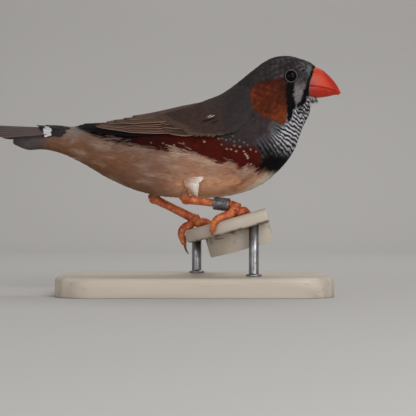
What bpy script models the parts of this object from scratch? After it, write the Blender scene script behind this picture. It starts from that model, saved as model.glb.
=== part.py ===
"""A male zebra finch, life size, gripping a short cut length of a plastic cup's rim
that a plain display stand holds up.

The bird looks along +X, +Y is its left side and +Z is up. The origin is the centre of
the stand's underside. Every size is in millimetres until a mesh is made.
"""

import math
from collections import namedtuple

import bmesh
import bpy
import numpy as np
from mathutils import Vector
from mathutils.bvhtree import BVHTree

MM = 0.001
GAP = 0.3

# Sizes of the body. Each row is one cross-section of the plumage, from the bill's base
# to the end of the undertail coverts: the dorsal x and z, the ventral x and z, and half
# the width. A section is an oval in the plane through those two points.
BODY_SECTIONS = np.array([
    (37.0, 70.7, 35.7, 60.6, 3.7),
    (35.2, 71.9, 36.2, 58.8, 4.7),
    (33.0, 72.8, 35.6, 56.5, 5.8),
    (30.4, 73.6, 34.6, 54.0, 6.7),
    (27.4, 73.8, 33.3, 51.5, 7.3),
    (24.0, 73.2, 32.3, 48.8, 7.7),
    (20.5, 71.3, 31.4, 46.2, 8.3),
    (16.7, 68.4, 30.2, 43.6, 9.3),
    (12.7, 65.1, 28.2, 40.8, 10.6),
    (8.1, 61.8, 25.1, 37.5, 11.8),
    (2.5, 59.4, 20.5, 33.9, 12.3),
    (-3.4, 57.6, 13.9, 31.3, 12.2),
    (-9.6, 55.8, 6.2, 30.0, 11.7),
    (-15.8, 54.3, -2.2, 29.9, 10.8),
    (-22.0, 53.3, -10.8, 30.5, 9.5),
    (-27.9, 52.5, -19.2, 32.6, 7.9),
    (-33.2, 52.0, -27.0, 36.1, 6.4),
    (-37.8, 51.7, -34.4, 40.4, 5.1),
    (-41.9, 51.6, -41.2, 43.6, 4.2),
    (-46.5, 51.4, -46.8, 44.9, 3.3),
    (-51.1, 51.1, -51.8, 44.7, 2.6),
    (-55.6, 51.0, -56.4, 46.6, 1.4),
])
HEAD_END = 5.7
NECK_END = 8.2
TORSO_END = 14.6
RUMP_END = 17.6
BODY_SIDES = 24

EYE_CENTRE = (29.5, 4.45, 67.1)
EYE_RADIUS = 2.5
LID_OUT = 1.6
LID_RADIUS = 2.55
LID_THICKNESS = 0.42

# The bill, base to tip: ridge and mouth line, or mouth line and keel, as x and z, with
# the half width.
UPPER_BILL = np.array([
    (37.0, 70.6, 35.8, 64.25, 3.9),
    (39.4, 69.5, 38.8, 63.95, 3.3),
    (41.9, 67.3, 41.6, 63.5, 2.3),
    (43.9, 64.8, 43.7, 62.8, 1.2),
    (45.2, 62.5, 44.9, 61.9, 0.3),
])
LOWER_BILL = np.array([
    (35.75, 63.95, 35.5, 60.9, 3.6),
    (38.8, 63.65, 38.3, 60.8, 2.9),
    (41.5, 63.2, 41.1, 61.2, 1.9),
    (43.3, 62.55, 43.1, 61.7, 0.9),
    (44.4, 61.95, 44.35, 61.65, 0.3),
])
BILL_SIDES = 11
NOSTRIL = (37.9, 1.9, 69.0)
NOSTRIL_RADIUS = 0.4

# The folded wing lies on the body. Places on it are x and the angle round the body from
# straight up, in degrees, about an axis that runs along the body.
WING_AXIS = np.array([(-50.0, 47.2), (-37.0, 47.4), (-19.0, 44.6), (-2.0, 45.3), (18.0, 52.4), (22.0, 54.5)])
VANE = 0.55

# The rim of the cup: a flat lip over a thin wall, bent round a corner.
RIM_TILT = math.radians(16)
RIM_CENTRE = Vector((17.3, 6.5, 25.4))
RIM_BEND = 18.0
RIM_START = 35.0
RIM_STRAIGHT = 4.2
LIP_HALF = 3.75
LIP_HEIGHT = 4.1
LIP_EDGE = 1.4
LIP_FOOT = 0.7
WALL = 1.6
WALL_DROP = 6.2

# The joints of the legs: the knee inside the plumage, the heel, and where the toes meet.
LEFT_KNEE = Vector((-7.4, 6.4, 36.4))
LEFT_HEEL = Vector((-13.6, 7.6, 29.9))
LEFT_JOINT = Vector((-0.5, 6.4, 23.4))
RIGHT_KNEE = Vector((2.6, -6.4, 35.6))
RIGHT_HEEL = Vector((-3.4, -6.7, 29.3))
RIGHT_JOINT = Vector((12.0, -10.3, 27.4))
# The right foot's place round the rim's corner, in degrees from the left foot's.
RIGHT_FOOT_TURN = 73.5
ANKLE = 0.5
RING_PLACE = 0.755
RING_LENGTH = 4.8
RING_BORE = 1.6
RING_OUTSIDE = 2.0

BASE_SIZE = (84.0, 54.0, 6.0)
BASE_CORNER = 12.0
BASE_EDGE = 1.2
ROD_RADIUS = 1.5
ROD_INSET = 3.6
ROD_OUTWARDS = 1.15

GREY = (0.13, 0.125, 0.12)
BROWN = (0.16, 0.125, 0.1)
CREAM = (0.55, 0.42, 0.32)
BLACK = (0.02, 0.018, 0.018)
RED = (0.7, 0.06, 0.03)
ORANGE = (0.72, 0.2, 0.06)
HORN = (0.12, 0.07, 0.05)
METAL = (0.5, 0.51, 0.53)
PLASTIC = (0.62, 0.6, 0.56)
WOOD = (0.6, 0.53, 0.44)
STEEL = (0.55, 0.55, 0.56)


def clear_scene():
    for obj in list(bpy.data.objects):
        bpy.data.objects.remove(obj, do_unlink=True)


def material(name, colour, roughness=0.6, metallic=0.0):
    made = bpy.data.materials.get(name) or bpy.data.materials.new(name)
    made.use_nodes = True
    shader = made.node_tree.nodes["Principled BSDF"]
    shader.inputs["Base Color"].default_value = (*colour, 1.0)
    shader.inputs["Roughness"].default_value = roughness
    shader.inputs["Metallic"].default_value = metallic
    return made


def mesh_object(name, points, faces):
    """One object from points in millimetres, its faces turned outwards."""
    mesh = bpy.data.meshes.new(name)
    mesh.from_pydata([tuple(float(v) * MM for v in p) for p in points], [], faces)
    edit = bmesh.new()
    edit.from_mesh(mesh)
    bmesh.ops.recalc_face_normals(edit, faces=edit.faces)
    edit.to_mesh(mesh)
    edit.free()
    obj = bpy.data.objects.new(name, mesh)
    bpy.context.scene.collection.objects.link(obj)
    return obj


def loft(name, rings):
    """A closed body through rings of points, capped at both ends."""
    rings = [list(ring) for ring in rings]
    count = len(rings[0])
    points = [p for ring in rings for p in ring]
    faces = [tuple(range(count)), tuple(range((len(rings) - 1) * count, len(rings) * count))]
    for i in range(len(rings) - 1):
        for j in range(count):
            k = (j + 1) % count
            faces.append((i * count + j, i * count + k, (i + 1) * count + k, (i + 1) * count + j))
    return mesh_object(name, points, faces)


def finish(obj, name, colour, roughness=0.6, metallic=0.0, slot=None):
    obj.name = name
    obj.data.name = name
    obj.data.materials.clear()
    obj.data.materials.append(material(slot or name, colour, roughness, metallic))
    obj.data.shade_smooth()
    obj.data.set_sharp_from_angle(angle=math.radians(40))
    return obj


def evaluated(obj):
    """Makes the object's modifiers part of its mesh."""
    graph = bpy.context.evaluated_depsgraph_get()
    mesh = bpy.data.meshes.new_from_object(obj.evaluated_get(graph))
    obj.modifiers.clear()
    obj.data = mesh
    return obj


def keep_largest(obj):
    """Keeps only the largest closed surface of the object."""
    edit = bmesh.new()
    edit.from_mesh(obj.data)
    bmesh.ops.remove_doubles(edit, verts=edit.verts, dist=1e-7)
    bmesh.ops.triangulate(edit, faces=edit.faces)
    unseen = set(edit.faces)
    groups = []
    while unseen:
        stack = [unseen.pop()]
        group = list(stack)
        while stack:
            for edge in stack.pop().edges:
                for face in edge.link_faces:
                    if face in unseen:
                        unseen.remove(face)
                        stack.append(face)
                        group.append(face)
        volume = sum(f.verts[0].co.dot(f.verts[1].co.cross(f.verts[2].co)) for f in group) / 6
        groups.append((abs(volume), group))
    groups.sort(key=lambda pair: pair[0], reverse=True)
    spare = [face for _, group in groups[1:] for face in group]
    bmesh.ops.delete(edit, geom=spare, context="FACES")
    edit.to_mesh(obj.data)
    edit.free()
    return obj


def union(obj, others, solver="EXACT"):
    """Joins closed meshes to obj, and removes them."""
    group = bpy.data.collections.new("pieces to join")
    bpy.context.scene.collection.children.link(group)
    for other in others:
        bpy.context.scene.collection.objects.unlink(other)
        group.objects.link(other)
    joint = obj.modifiers.new("join", "BOOLEAN")
    joint.operand_type = "COLLECTION"
    joint.collection = group
    joint.operation = "UNION"
    joint.solver = solver
    evaluated(obj)
    for other in others:
        bpy.data.objects.remove(other, do_unlink=True)
    bpy.data.collections.remove(group)
    return keep_largest(obj)


def cut(obj, tool, keep_tool=False):
    """Takes the tool's volume out of obj."""
    joint = obj.modifiers.new("cut", "BOOLEAN")
    joint.operation = "DIFFERENCE"
    joint.object = tool
    joint.solver = "EXACT"
    evaluated(obj)
    if not keep_tool:
        bpy.data.objects.remove(tool, do_unlink=True)
    return keep_largest(obj)


def along(table, places):
    """Rows of a table read at fractional places, on a smooth curve through its rows."""
    table = np.asarray(table, float)
    places = np.atleast_1d(np.asarray(places, float))
    last = len(table) - 1
    i = np.clip(np.floor(places).astype(int), 0, last - 1)
    f = (places - i)[:, None]
    before = table[np.clip(i - 1, 0, last)]
    here, there = table[i], table[i + 1]
    after = table[np.clip(i + 2, 0, last)]
    return here + 0.5 * f * (
        there - before
        + f * (2 * before - 5 * here + 4 * there - after + f * (3 * (here - there) + after - before))
    )


def body_ring(place, sides=BODY_SIDES, grow=0.0):
    """One oval section of the body: the ring's angle runs from the back round the left."""
    dx, dz, vx, vz, width = along(BODY_SECTIONS, place)[0]
    centre = np.array([(dx + vx) / 2, 0.0, (dz + vz) / 2])
    axis = np.array([(dx - vx) / 2, 0.0, (dz - vz) / 2])
    axis *= 1 + grow / np.linalg.norm(axis)
    angle = np.linspace(0, 2 * math.pi, sides, endpoint=False)
    points = centre + np.outer(np.cos(angle), axis)
    points[:, 1] = (width + grow) * np.sin(angle)
    return points


def body_loft(name, start, end, steps, sides=BODY_SIDES, grow=0.0):
    return loft(name, [body_ring(t, sides, grow) for t in np.linspace(start, end, steps)])


def section_plane(place):
    """A point on the section at a place, and the section's normal, towards the tail."""
    dx, dz, vx, vz, _ = along(BODY_SECTIONS, place)[0]
    point = Vector(((dx + vx) / 2, 0.0, (dz + vz) / 2))
    normal = Vector((dz - vz, 0.0, vx - dx)).normalized()
    return point, -normal


def trim(obj, point, normal):
    """Cuts away what lies beyond a plane, and closes the cut."""
    edit = bmesh.new()
    edit.from_mesh(obj.data)
    made = bmesh.ops.bisect_plane(
        edit, geom=edit.verts[:] + edit.edges[:] + edit.faces[:], dist=1e-8,
        plane_co=point * MM, plane_no=normal, clear_outer=True)
    edges = [e for e in made["geom_cut"] if isinstance(e, bmesh.types.BMEdge)]
    bmesh.ops.edgeloop_fill(edit, edges=edges)
    bmesh.ops.recalc_face_normals(edit, faces=edit.faces)
    edit.to_mesh(obj.data)
    edit.free()
    return obj


def body_piece(name, start, end, steps, sides=BODY_SIDES):
    """The body between two sections, half a gap short at each cut end."""
    first = max(start - 0.6, 0)
    last = min(end + 0.6, len(BODY_SECTIONS) - 1)
    obj = body_loft(name, first, last, steps, sides)
    if start > 0:
        point, normal = section_plane(start)
        trim(obj, point + normal * GAP / 2, -normal)
    if end < len(BODY_SECTIONS) - 1:
        point, normal = section_plane(end)
        trim(obj, point - normal * GAP / 2, normal)
    return obj


def tube(name, path, radii, sides=8, flat=1.0):
    """A round body along a path. flat is the width across Y as a share of its depth."""
    path = [Vector(p) for p in path]
    rings = []
    previous = Vector((0, 1, 0))
    for i, point in enumerate(path):
        ahead = path[min(i + 1, len(path) - 1)] - path[max(i - 1, 0)]
        ahead.normalize()
        side = previous - ahead * previous.dot(ahead)
        side.normalize()
        up = ahead.cross(side)
        previous = side
        rings.append([
            point + side * (radii[i] * flat * math.cos(a)) + up * (radii[i] * math.sin(a))
            for a in np.linspace(0, 2 * math.pi, sides, endpoint=False)])
    return loft(name, rings)


def ball(name, centre, radius, rings=10, sides=16):
    """A closed ball with poles on the Y axis."""
    centre = np.array(centre, float)
    points = [centre + (0, radius, 0)]
    for i in range(1, rings):
        a = math.pi * i / rings
        for j in range(sides):
            b = 2 * math.pi * j / sides
            points.append(centre + radius * np.array(
                (math.sin(a) * math.cos(b), math.cos(a), math.sin(a) * math.sin(b))))
    points.append(centre - (0, radius, 0))
    faces = []
    for j in range(sides):
        k = (j + 1) % sides
        faces.append((0, 1 + j, 1 + k))
        low = 1 + (rings - 2) * sides
        faces.append((low + k, low + j, len(points) - 1))
        for i in range(rings - 2):
            a, b = 1 + i * sides, 1 + (i + 1) * sides
            faces.append((a + j, b + j, b + k, a + k))
    return mesh_object(name, points, faces)


def ring_band(name, centre, axis, inner, outer, length, sides=20):
    """A plain band round an axis."""
    axis = Vector(axis).normalized()
    side = axis.orthogonal().normalized()
    up = axis.cross(side)
    centre = Vector(centre)
    profile = [(inner, -length / 2), (outer, -length / 2), (outer, length / 2), (inner, length / 2)]
    points = []
    for i in range(sides):
        a = 2 * math.pi * i / sides
        out = side * math.cos(a) + up * math.sin(a)
        points += [centre + out * r + axis * h for r, h in profile]
    faces = []
    for i in range(sides):
        k = (i + 1) % sides
        for j in range(4):
            m = (j + 1) % 4
            faces.append((i * 4 + j, k * 4 + j, k * 4 + m, i * 4 + m))
    return mesh_object(name, points, faces)


def torus(name, centre, radius, thickness, sides=16, around=5):
    """A ring that lies flat to Y."""
    points = []
    for i in range(sides):
        a = 2 * math.pi * i / sides
        for j in range(around):
            b = 2 * math.pi * j / around
            r = radius + thickness * math.cos(b)
            points.append((centre[0] + r * math.cos(a), centre[1] + thickness * math.sin(b),
                           centre[2] + r * math.sin(a)))
    faces = []
    for i in range(sides):
        k = (i + 1) % sides
        for j in range(around):
            m = (j + 1) % around
            faces.append((i * around + j, k * around + j, k * around + m, i * around + m))
    return mesh_object(name, points, faces)


def mirrored(obj, name):
    """A copy of the object on the other side of the bird."""
    mesh = obj.data.copy()
    points = np.empty(len(mesh.vertices) * 3, np.float32)
    mesh.vertices.foreach_get("co", points)
    points[1::3] *= -1
    mesh.vertices.foreach_set("co", points)
    mesh.flip_normals()
    mesh.update()
    copy = bpy.data.objects.new(name, mesh)
    bpy.context.scene.collection.objects.link(copy)
    mesh.name = name
    return copy


# Feathers: places along one from its root, each with its share of the full width.
LONG_FEATHER = np.array([(0.0, 0.8), (0.45, 0.95), (0.8, 0.98), (0.94, 0.68), (1.0, 0.22)])
SHORT_FEATHER = np.array([(0.0, 0.8), (0.6, 1.0), (0.88, 0.8), (1.0, 0.28)])


def vane(name, place, root, tip, half_width, level, tilt, shape, bow=0.0, thickness=VANE):
    """One flat feather on a surface. place(a, b, h) gives the point at height h over the
    surface, root and tip are its ends as (a, b), level its height at root and tip, and
    tilt how much its +b edge stands over its -b edge. Both faces are split alike."""
    root, tip = np.array(root, float), np.array(tip, float)
    run = tip - root
    length = np.linalg.norm(run)
    side = np.array((-run[1], run[0])) / length
    if side[1] < 0:
        side = -side
    points = []
    for s, share in shape:
        centre = root + run * s + side * bow * math.sin(math.pi * s)
        height = level[0] + (level[1] - level[0]) * s
        for across in (-1, 0, 1):
            a, b = centre + side * across * half_width * share
            points.append(place(a, b, height + tilt * across + thickness))
        for across in (1, 0, -1):
            a, b = centre + side * across * half_width * share
            points.append(place(a, b, height + tilt * across))
    faces = []
    rows = len(shape)
    for i in range(rows - 1):
        a, b = i * 6, (i + 1) * 6
        for j, k in ((0, 1), (1, 2)):
            faces += [(a + j, a + k, b + k), (a + j, b + k, b + j)]
        for j, k in ((4, 3), (5, 4)):
            faces += [(a + k, a + j, b + k), (a + j, b + j, b + k)]
        for j, k in ((2, 3), (5, 0)):
            faces.append((a + j, a + k, b + k, b + j))
    faces.append((0, 1, 2, 3, 4, 5))
    end = (rows - 1) * 6
    faces.append(tuple(end + i for i in range(6)))
    return mesh_object(name, points, faces)


class BodySurface:
    """The distance from the wing's axis to the plumage, at an x and an angle."""

    def __init__(self):
        steps = np.linspace(0, len(BODY_SECTIONS) - 1, 121)
        sides = 72
        points = np.concatenate([body_ring(t, sides) for t in steps])
        faces = []
        for i in range(len(steps) - 1):
            for j in range(sides):
                k = (j + 1) % sides
                faces.append((i * sides + j, i * sides + k, (i + 1) * sides + k, (i + 1) * sides + j))
        self.tree = BVHTree.FromPolygons([tuple(p) for p in points], faces)

    def place(self, x, angle, height):
        """The point at a height over the right side's plumage; angle is in degrees."""
        z = float(np.interp(x, WING_AXIS[:, 0], WING_AXIS[:, 1]))
        a = math.radians(angle)
        out = Vector((0.0, -math.sin(a), math.cos(a)))
        hit, _, _, distance = self.tree.ray_cast(Vector((x, 0.0, z)), out)
        reach = distance if hit is not None else 2.0
        return Vector((x, 0.0, z)) + out * (reach + height)


DEGREES_PER_MM = 4.8
TIP_DRAW = 0.25
PLATE_FRONT = (18.0, 55)
PLATE_BACK = (-16.0, 44)
PLATE_WIDTH = 4.9
PLATE_THICKNESS = 1.25
PLATE_SHAPE = np.array([(0.0, 0.16), (0.06, 0.5), (0.2, 0.86), (0.4, 1.0), (0.7, 0.92), (1.0, 0.5)])
Tier = namedtuple("Tier", "name count shape roots tips bulge bow width height tilt")
# The tiers of the folded wing, from the longest feathers to the smallest. roots and tips
# are those of the lowest and of the highest feather, as x and degrees. The tips bulge
# backwards between them, the lowest feather bows downwards, and the width is half of one
# feather's. The height is at root and tip, and tilt lifts the lower edge.
WING_TIERS = (
    Tier("primary", 8, LONG_FEATHER, ((-1.0, 70), (-4.0, 44)), ((-33.4, 55), (-33.0, 30)),
         3.2, 2.6, 1.45, (0.6, 0.6), 0.22),
    Tier("secondary", 5, LONG_FEATHER, ((-4.0, 58), (-4.0, 30)), ((-29.5, 38), (-25.0, 18)),
         0.6, 0.5, 1.5, (0.95, 1.05), 0.25),
    Tier("tertial", 3, LONG_FEATHER, ((-1.0, 44), (0.5, 24)), ((-24.5, 28), (-19.3, 14)),
         0.0, 0.0, 2.1, (1.35, 1.5), 0.25),
    Tier("greater covert", 7, SHORT_FEATHER, ((6.0, 83), (4.5, 31)), ((-7.5, 75), (-8.5, 27)),
         1.6, 0.0, 1.45, (1.2, 1.45), 0.22),
    Tier("median covert", 6, SHORT_FEATHER, ((11.0, 78), (9.5, 32)), ((0.6, 82), (-0.2, 30)),
         0.8, 0.0, 1.6, (1.1, 1.75), 0.22),
    Tier("lesser covert", 5, SHORT_FEATHER, ((14.4, 68), (13.8, 40)), ((7.0, 80), (5.4, 35)),
         0.4, 0.0, 1.7, (0.7, 2.0), 0.2),
    Tier("scapular", 4, SHORT_FEATHER, ((9.5, 36), (9.5, 20)), ((-11.0, 32), (-7.5, 14)),
         0.0, 0.0, 1.8, (0.4, 1.8), 0.2),
)


def make_wing(surface):
    """The right wing: an inner plate with the feathers in tiers, joined in one body."""
    def place(a, b, h):
        return surface.place(a, b * DEGREES_PER_MM, h)

    def at(x, degrees):
        return np.array((x, degrees / DEGREES_PER_MM))

    plate = vane("plate", place, at(*PLATE_FRONT), at(*PLATE_BACK), PLATE_WIDTH, (0.5, 0.5), 0.0,
                 PLATE_SHAPE, thickness=PLATE_THICKNESS)
    draw = np.random.default_rng(3)
    feathers = []
    for tier in WING_TIERS:
        for k in range(tier.count):
            f = k / (tier.count - 1)
            root = at(*tier.roots[0]) * (1 - f) + at(*tier.roots[1]) * f
            tip = at(*tier.tips[0]) * (1 - f) + at(*tier.tips[1]) * f
            tip[0] -= tier.bulge * math.sin(math.pi * f) + draw.uniform(-TIP_DRAW, TIP_DRAW)
            feathers.append(vane(tier.name, place, root, tip, tier.width, tier.height, tier.tilt,
                                 tier.shape, tier.bow * (1 - f)))
    return union(plate, feathers, "MANIFOLD")


TAIL_ROOT = Vector((-37.0, 0.0, 51.3))
TAIL_TIP = Vector((-62.3, 0.0, 52.5))
TAIL_ROOF = 9.0
TAIL_START = 4.6
TAIL_PAIRS = 6
RECTRIX_WIDTH = 1.75
COVERT_WIDTH = 1.25
COVERT_LENGTH = 11.5
COVERT_SPREAD = (-2.6, -1.3, 0.0, 1.3, 2.6)


def tail_place(a, b, h):
    """A place on the closed tail, roofed across: a from root to tip, b to the left."""
    ahead = (TAIL_TIP - TAIL_ROOT).normalized()
    up = Vector((-ahead.z, 0, ahead.x))
    if up.z < 0:
        up = -up
    return TAIL_ROOT + ahead * a + Vector((0, b, 0)) + up * (h - b * b / (2 * TAIL_ROOF))


def make_tail():
    """The tail: undertail coverts as the core, with the flight feathers and the
    uppertail coverts rooted in it."""
    core = body_loft("core", RUMP_END - 0.2, len(BODY_SECTIONS) - 1, 9, 16)
    point, normal = section_plane(RUMP_END)
    trim(core, point + normal * GAP / 2, -normal)
    length = (TAIL_TIP - TAIL_ROOT).length
    feathers = []
    for k in range(TAIL_PAIRS):
        for side in (-1, 1):
            tip = (length - 0.35 * k, side * (0.75 + 0.82 * k))
            root = (TAIL_START, side * (0.3 + 0.36 * k))
            sink = 0.0 if side < 0 else 0.1
            level = (-0.25 - 0.12 * k, -0.4 - 0.3 * k - sink)
            feathers.append(vane("rectrix", tail_place, root, tip, RECTRIX_WIDTH, level, 0.06 * side,
                                 LONG_FEATHER))
    for b in COVERT_SPREAD:
        root = (TAIL_START, b * 0.75)
        tip = (COVERT_LENGTH - 0.5 * abs(b), b * 1.15)
        level = (0.25 - 0.08 * abs(b), 0.35 - 0.05 * abs(b))
        feathers.append(vane("uppertail covert", tail_place, root, tip, COVERT_WIDTH, level, 0.1,
                             SHORT_FEATHER))
    tail = union(core, feathers, "MANIFOLD")
    trim(tail, point + normal * GAP / 2, -normal)
    return keep_largest(tail)


# The rim and what stands on it


class Rim:
    """Places on the cup's rim: a runs along its middle line, c round its section from
    the middle of the top, outwards positive, and h is the height over its surface."""

    def __init__(self):
        self.along_slope = Vector((math.cos(RIM_TILT), 0.0, math.sin(RIM_TILT)))
        self.up = Vector((-math.sin(RIM_TILT), 0.0, math.cos(RIM_TILT)))
        self.bend_end = RIM_BEND * math.radians(90 + RIM_START)
        self.left_most = RIM_BEND * math.radians(RIM_START)
        self.end = self.bend_end + RIM_STRAIGHT

    def line(self, a):
        """The middle line's point and the outward direction there."""
        if a <= self.bend_end:
            angle = math.radians(180 - RIM_START) + a / RIM_BEND
            out = self.along_slope * math.cos(angle) + Vector((0, 1, 0)) * math.sin(angle)
            return RIM_CENTRE + out * RIM_BEND, out
        out = Vector((0, -1, 0))
        return RIM_CENTRE + out * RIM_BEND + self.along_slope * (a - self.bend_end), out

    def place(self, a, c, h):
        point, out = self.line(a)
        side = 1 if c >= 0 else -1
        c = abs(c)
        flat = LIP_HALF - LIP_EDGE
        quarter = LIP_EDGE * math.pi / 2
        if c <= flat:
            q, drop, turn = c, 0.0, 0.0
        elif c <= flat + quarter:
            turn = (c - flat) / LIP_EDGE
            q, drop = flat + LIP_EDGE * math.sin(turn), LIP_EDGE * (1 - math.cos(turn))
        else:
            turn = math.pi / 2
            q, drop = LIP_HALF, LIP_EDGE + c - flat - quarter
        q += h * math.sin(turn)
        return point + out * (side * q) + self.up * (h * math.cos(turn) - drop)

    def solid(self):
        """The lip and the top of the wall, cut square at both ends."""
        flat = LIP_HALF - LIP_EDGE
        profile = []
        for turn in np.linspace(0, math.pi / 2, 4):
            profile.append((flat + LIP_EDGE * math.sin(turn), -LIP_EDGE * (1 - math.cos(turn))))
        profile += [(LIP_HALF, -LIP_HEIGHT + LIP_FOOT), (LIP_HALF - LIP_FOOT, -LIP_HEIGHT),
                    (-LIP_HALF + WALL, -LIP_HEIGHT), (-LIP_HALF + WALL, -LIP_HEIGHT - WALL_DROP),
                    (-LIP_HALF, -LIP_HEIGHT - WALL_DROP)]
        for turn in np.linspace(math.pi / 2, 0, 4):
            profile.append((-flat - LIP_EDGE * math.sin(turn), -LIP_EDGE * (1 - math.cos(turn))))
        rings = []
        for a in [*np.linspace(0, self.bend_end, 19), self.end]:
            point, out = self.line(a)
            rings.append([point + out * q + self.up * z for q, z in profile])
        return loft("rim", rings)


TOE_SIDES = 8
TOE_START = 0.95
TOE_END = 0.62
TOE_FAN = 1.05
TOE_STEPS = 8
CLAW_RADIUS = 0.42
CLAW_SIDES = 6
CLAW_STEPS = 6
# Each toe: its heading in degrees from straight outwards, its reach and its curl; then
# the length of its claw, the claw's curl and how far its point falls.
LEFT_TOES = {
    "hallux": (2, 7.6, 0, 3.0, 0, 0.3),
    "inner": (152, 8.0, 8, 2.6, 0, 0.45),
    "middle": (180, 9.4, 0, 2.8, 0, 0.45),
    "outer": (208, 8.0, -8, 2.6, 0, 0.45),
}
RIGHT_TOES = {
    "hallux": (-68, 8.6, 22, 3.6, 150, 0.4),
    "inner": (200, 8.2, -12, 2.6, 0, 0.45),
    "middle": (163, 9.6, 4, 2.8, 0, 0.45),
    "outer": (128, 8.4, 16, 2.6, 0, 0.45),
}


def toe_path(rim, joint, a0, turn, reach, curl):
    """The toe's middle line and radii: from the joint down to the rim, then along it.
    turn is the heading in degrees, 0 outwards and 90 along +a, and reach the length on
    the rim."""
    lean = math.radians(turn)
    points = [joint.lerp(rim.place(a0 + TOE_FAN * math.sin(lean), TOE_FAN * math.cos(lean), 1.4), 0.62)]
    radii = [TOE_START * 1.05]
    for f in np.linspace(0, 1, TOE_STEPS + 1):
        radius = TOE_START + (TOE_END - TOE_START) * f
        run = TOE_FAN + (reach - TOE_FAN) * f
        heading = math.radians(turn + curl * f)
        points.append(rim.place(a0 + run * math.sin(heading), run * math.cos(heading), radius + GAP))
        radii.append(radius)
    return points, radii


def claw(rim, a, c, heading, length, curl, fall):
    """A tapered hook in the rim's places, from (a, c) along a heading that curls. Its
    height rises a little, then falls by the given drop to its point."""
    path, radii = [], []
    for f in np.linspace(0, 1, CLAW_STEPS + 1):
        turn = math.radians(heading + curl * f * 0.5)
        height = TOE_END + GAP + 0.25 * math.sin(math.pi * f) - fall * f * f
        path.append(rim.place(a + length * f * math.sin(turn), c + length * f * math.cos(turn), height))
        radii.append(CLAW_RADIUS * (1 - f) ** 0.7 + 0.1)
    return tube("claw", path, radii, CLAW_SIDES)


def make_foot(rim, side, heel, joint, a0, toes):
    """One foot: the joint, four toes joined to it, and the claws as nodes of their own."""
    ahead = (joint - heel).normalized()
    stub = tube("stub", [joint - ahead * ANKLE, joint - ahead * 0.1, joint + ahead * 0.35,
                         joint + (rim.place(a0, 0, 1.3) - joint) * 0.75], [0.95, 1.1, 1.15, 1.1], 10)
    pieces = []
    for name, (turn, reach, curl, length, claw_curl, fall) in toes.items():
        path, radii = toe_path(rim, joint, a0, turn, reach, curl)
        pieces.append(tube(name, path, radii, TOE_SIDES))
        end = math.radians(turn + curl)
        heading = end + math.atan(math.radians(curl))
        a = a0 + reach * math.sin(end) + GAP * math.sin(heading)
        c = reach * math.cos(end) + GAP * math.cos(heading)
        nail = claw(rim, a, c, math.degrees(heading), length, claw_curl, fall)
        finish(nail, f"claw_{side}_{name}", HORN, 0.35, slot="claw")
    foot = union(stub, pieces, "MANIFOLD")
    finish(foot, f"foot_{side}", ORANGE, 0.55, slot="leg_skin")


# Places along the shank and the shin, each with its radius.
SHANK_SHAPE = ((0.0, 1.15), (0.06, 1.3), (0.15, 1.05), (0.5, 1.0), (0.88, 1.1), (1.0, 1.05))
SHIN_SHAPE = ((0.0, 3.6), (0.45, 3.2), (0.75, 2.4), (0.92, 1.7), (1.0, 1.3))
SHANK_WIDTH = 0.85


def make_leg(side, knee, heel, joint, torso_guard):
    """The feathered shin that leaves the belly, and the bare shank below the heel."""
    def bone(name, start, end, shape, sides, grow=0.0):
        path = [start.lerp(end, f) for f, _ in shape]
        return tube(name, path, [radius + grow for _, radius in shape], sides, SHANK_WIDTH)

    ahead = (joint - heel).normalized()
    end = joint - ahead * (ANKLE + GAP)
    shank = bone("shank", heel, end, SHANK_SHAPE, 10)
    clear = bone("clear", heel - ahead, end, SHANK_SHAPE, 10, GAP + 0.1)
    shin = bone("shin", knee, heel.lerp(knee, 0.14), SHIN_SHAPE, 12)
    cut(shin, torso_guard, keep_tool=True)
    cut(shin, clear)
    finish(shin, f"thigh_{side}", CREAM, 0.8, slot="plumage")
    finish(shank, f"tarsus_{side}", ORANGE, 0.55, slot="leg_skin")


def make_stand(rim):
    """A flat base and two short rods that end under the rim's lip."""
    sx, sy, sz = BASE_SIZE
    outline = []
    for cx, cy, first in ((1, 1, 0), (-1, 1, 90), (-1, -1, 180), (1, -1, 270)):
        for turn in np.radians(np.linspace(first, first + 90, 6)):
            outline.append((cx * (sx / 2 - BASE_CORNER) + BASE_CORNER * math.cos(turn),
                            cy * (sy / 2 - BASE_CORNER) + BASE_CORNER * math.sin(turn)))
    rings = []
    for shrink, z in ((0, 0), (0, sz - BASE_EDGE), (BASE_EDGE, sz)):
        rings.append([(x * (1 - 2 * shrink / sx), y * (1 - 2 * shrink / sy), z) for x, y in outline])
    finish(loft("base", rings), "stand_base", WOOD, 0.4)
    for name, a in (("stand_rod_back", ROD_INSET), ("stand_rod_front", rim.end - ROD_INSET)):
        point, out = rim.line(a)
        top = point + out * ROD_OUTWARDS
        circle = [(top.x + ROD_RADIUS * math.cos(t), top.y + ROD_RADIUS * math.sin(t))
                  for t in np.linspace(0, 2 * math.pi, 16, endpoint=False)]
        rod = loft("rod", [[(x, y, z) for x, y in circle] for z in (sz + GAP, top.z)])
        trim(rod, point - rim.up * (LIP_HEIGHT + GAP), rim.up)
        finish(rod, name, STEEL, 0.25, 1.0, slot="stand_rod")


def bill_half(table, steps, upper):
    """Half of the bill: sections that are domed towards the ridge or keel, and flat
    along the line of the mouth."""
    rings = []
    for x0, z0, x1, z1, width in along(table, np.linspace(0, len(table) - 1, steps)):
        dome, mouth = ((x0, z0), (x1, z1)) if upper else ((x1, z1), (x0, z0))
        ring = []
        for turn in np.linspace(-math.pi / 2, math.pi / 2, BILL_SIDES):
            rise = abs(math.cos(turn))
            ring.append((mouth[0] + (dome[0] - mouth[0]) * rise, width * math.sin(turn),
                         mouth[1] + (dome[1] - mouth[1]) * rise))
        ring.append((mouth[0], 0.0, mouth[1]))
        rings.append(ring)
    return loft("bill", rings)


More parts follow.
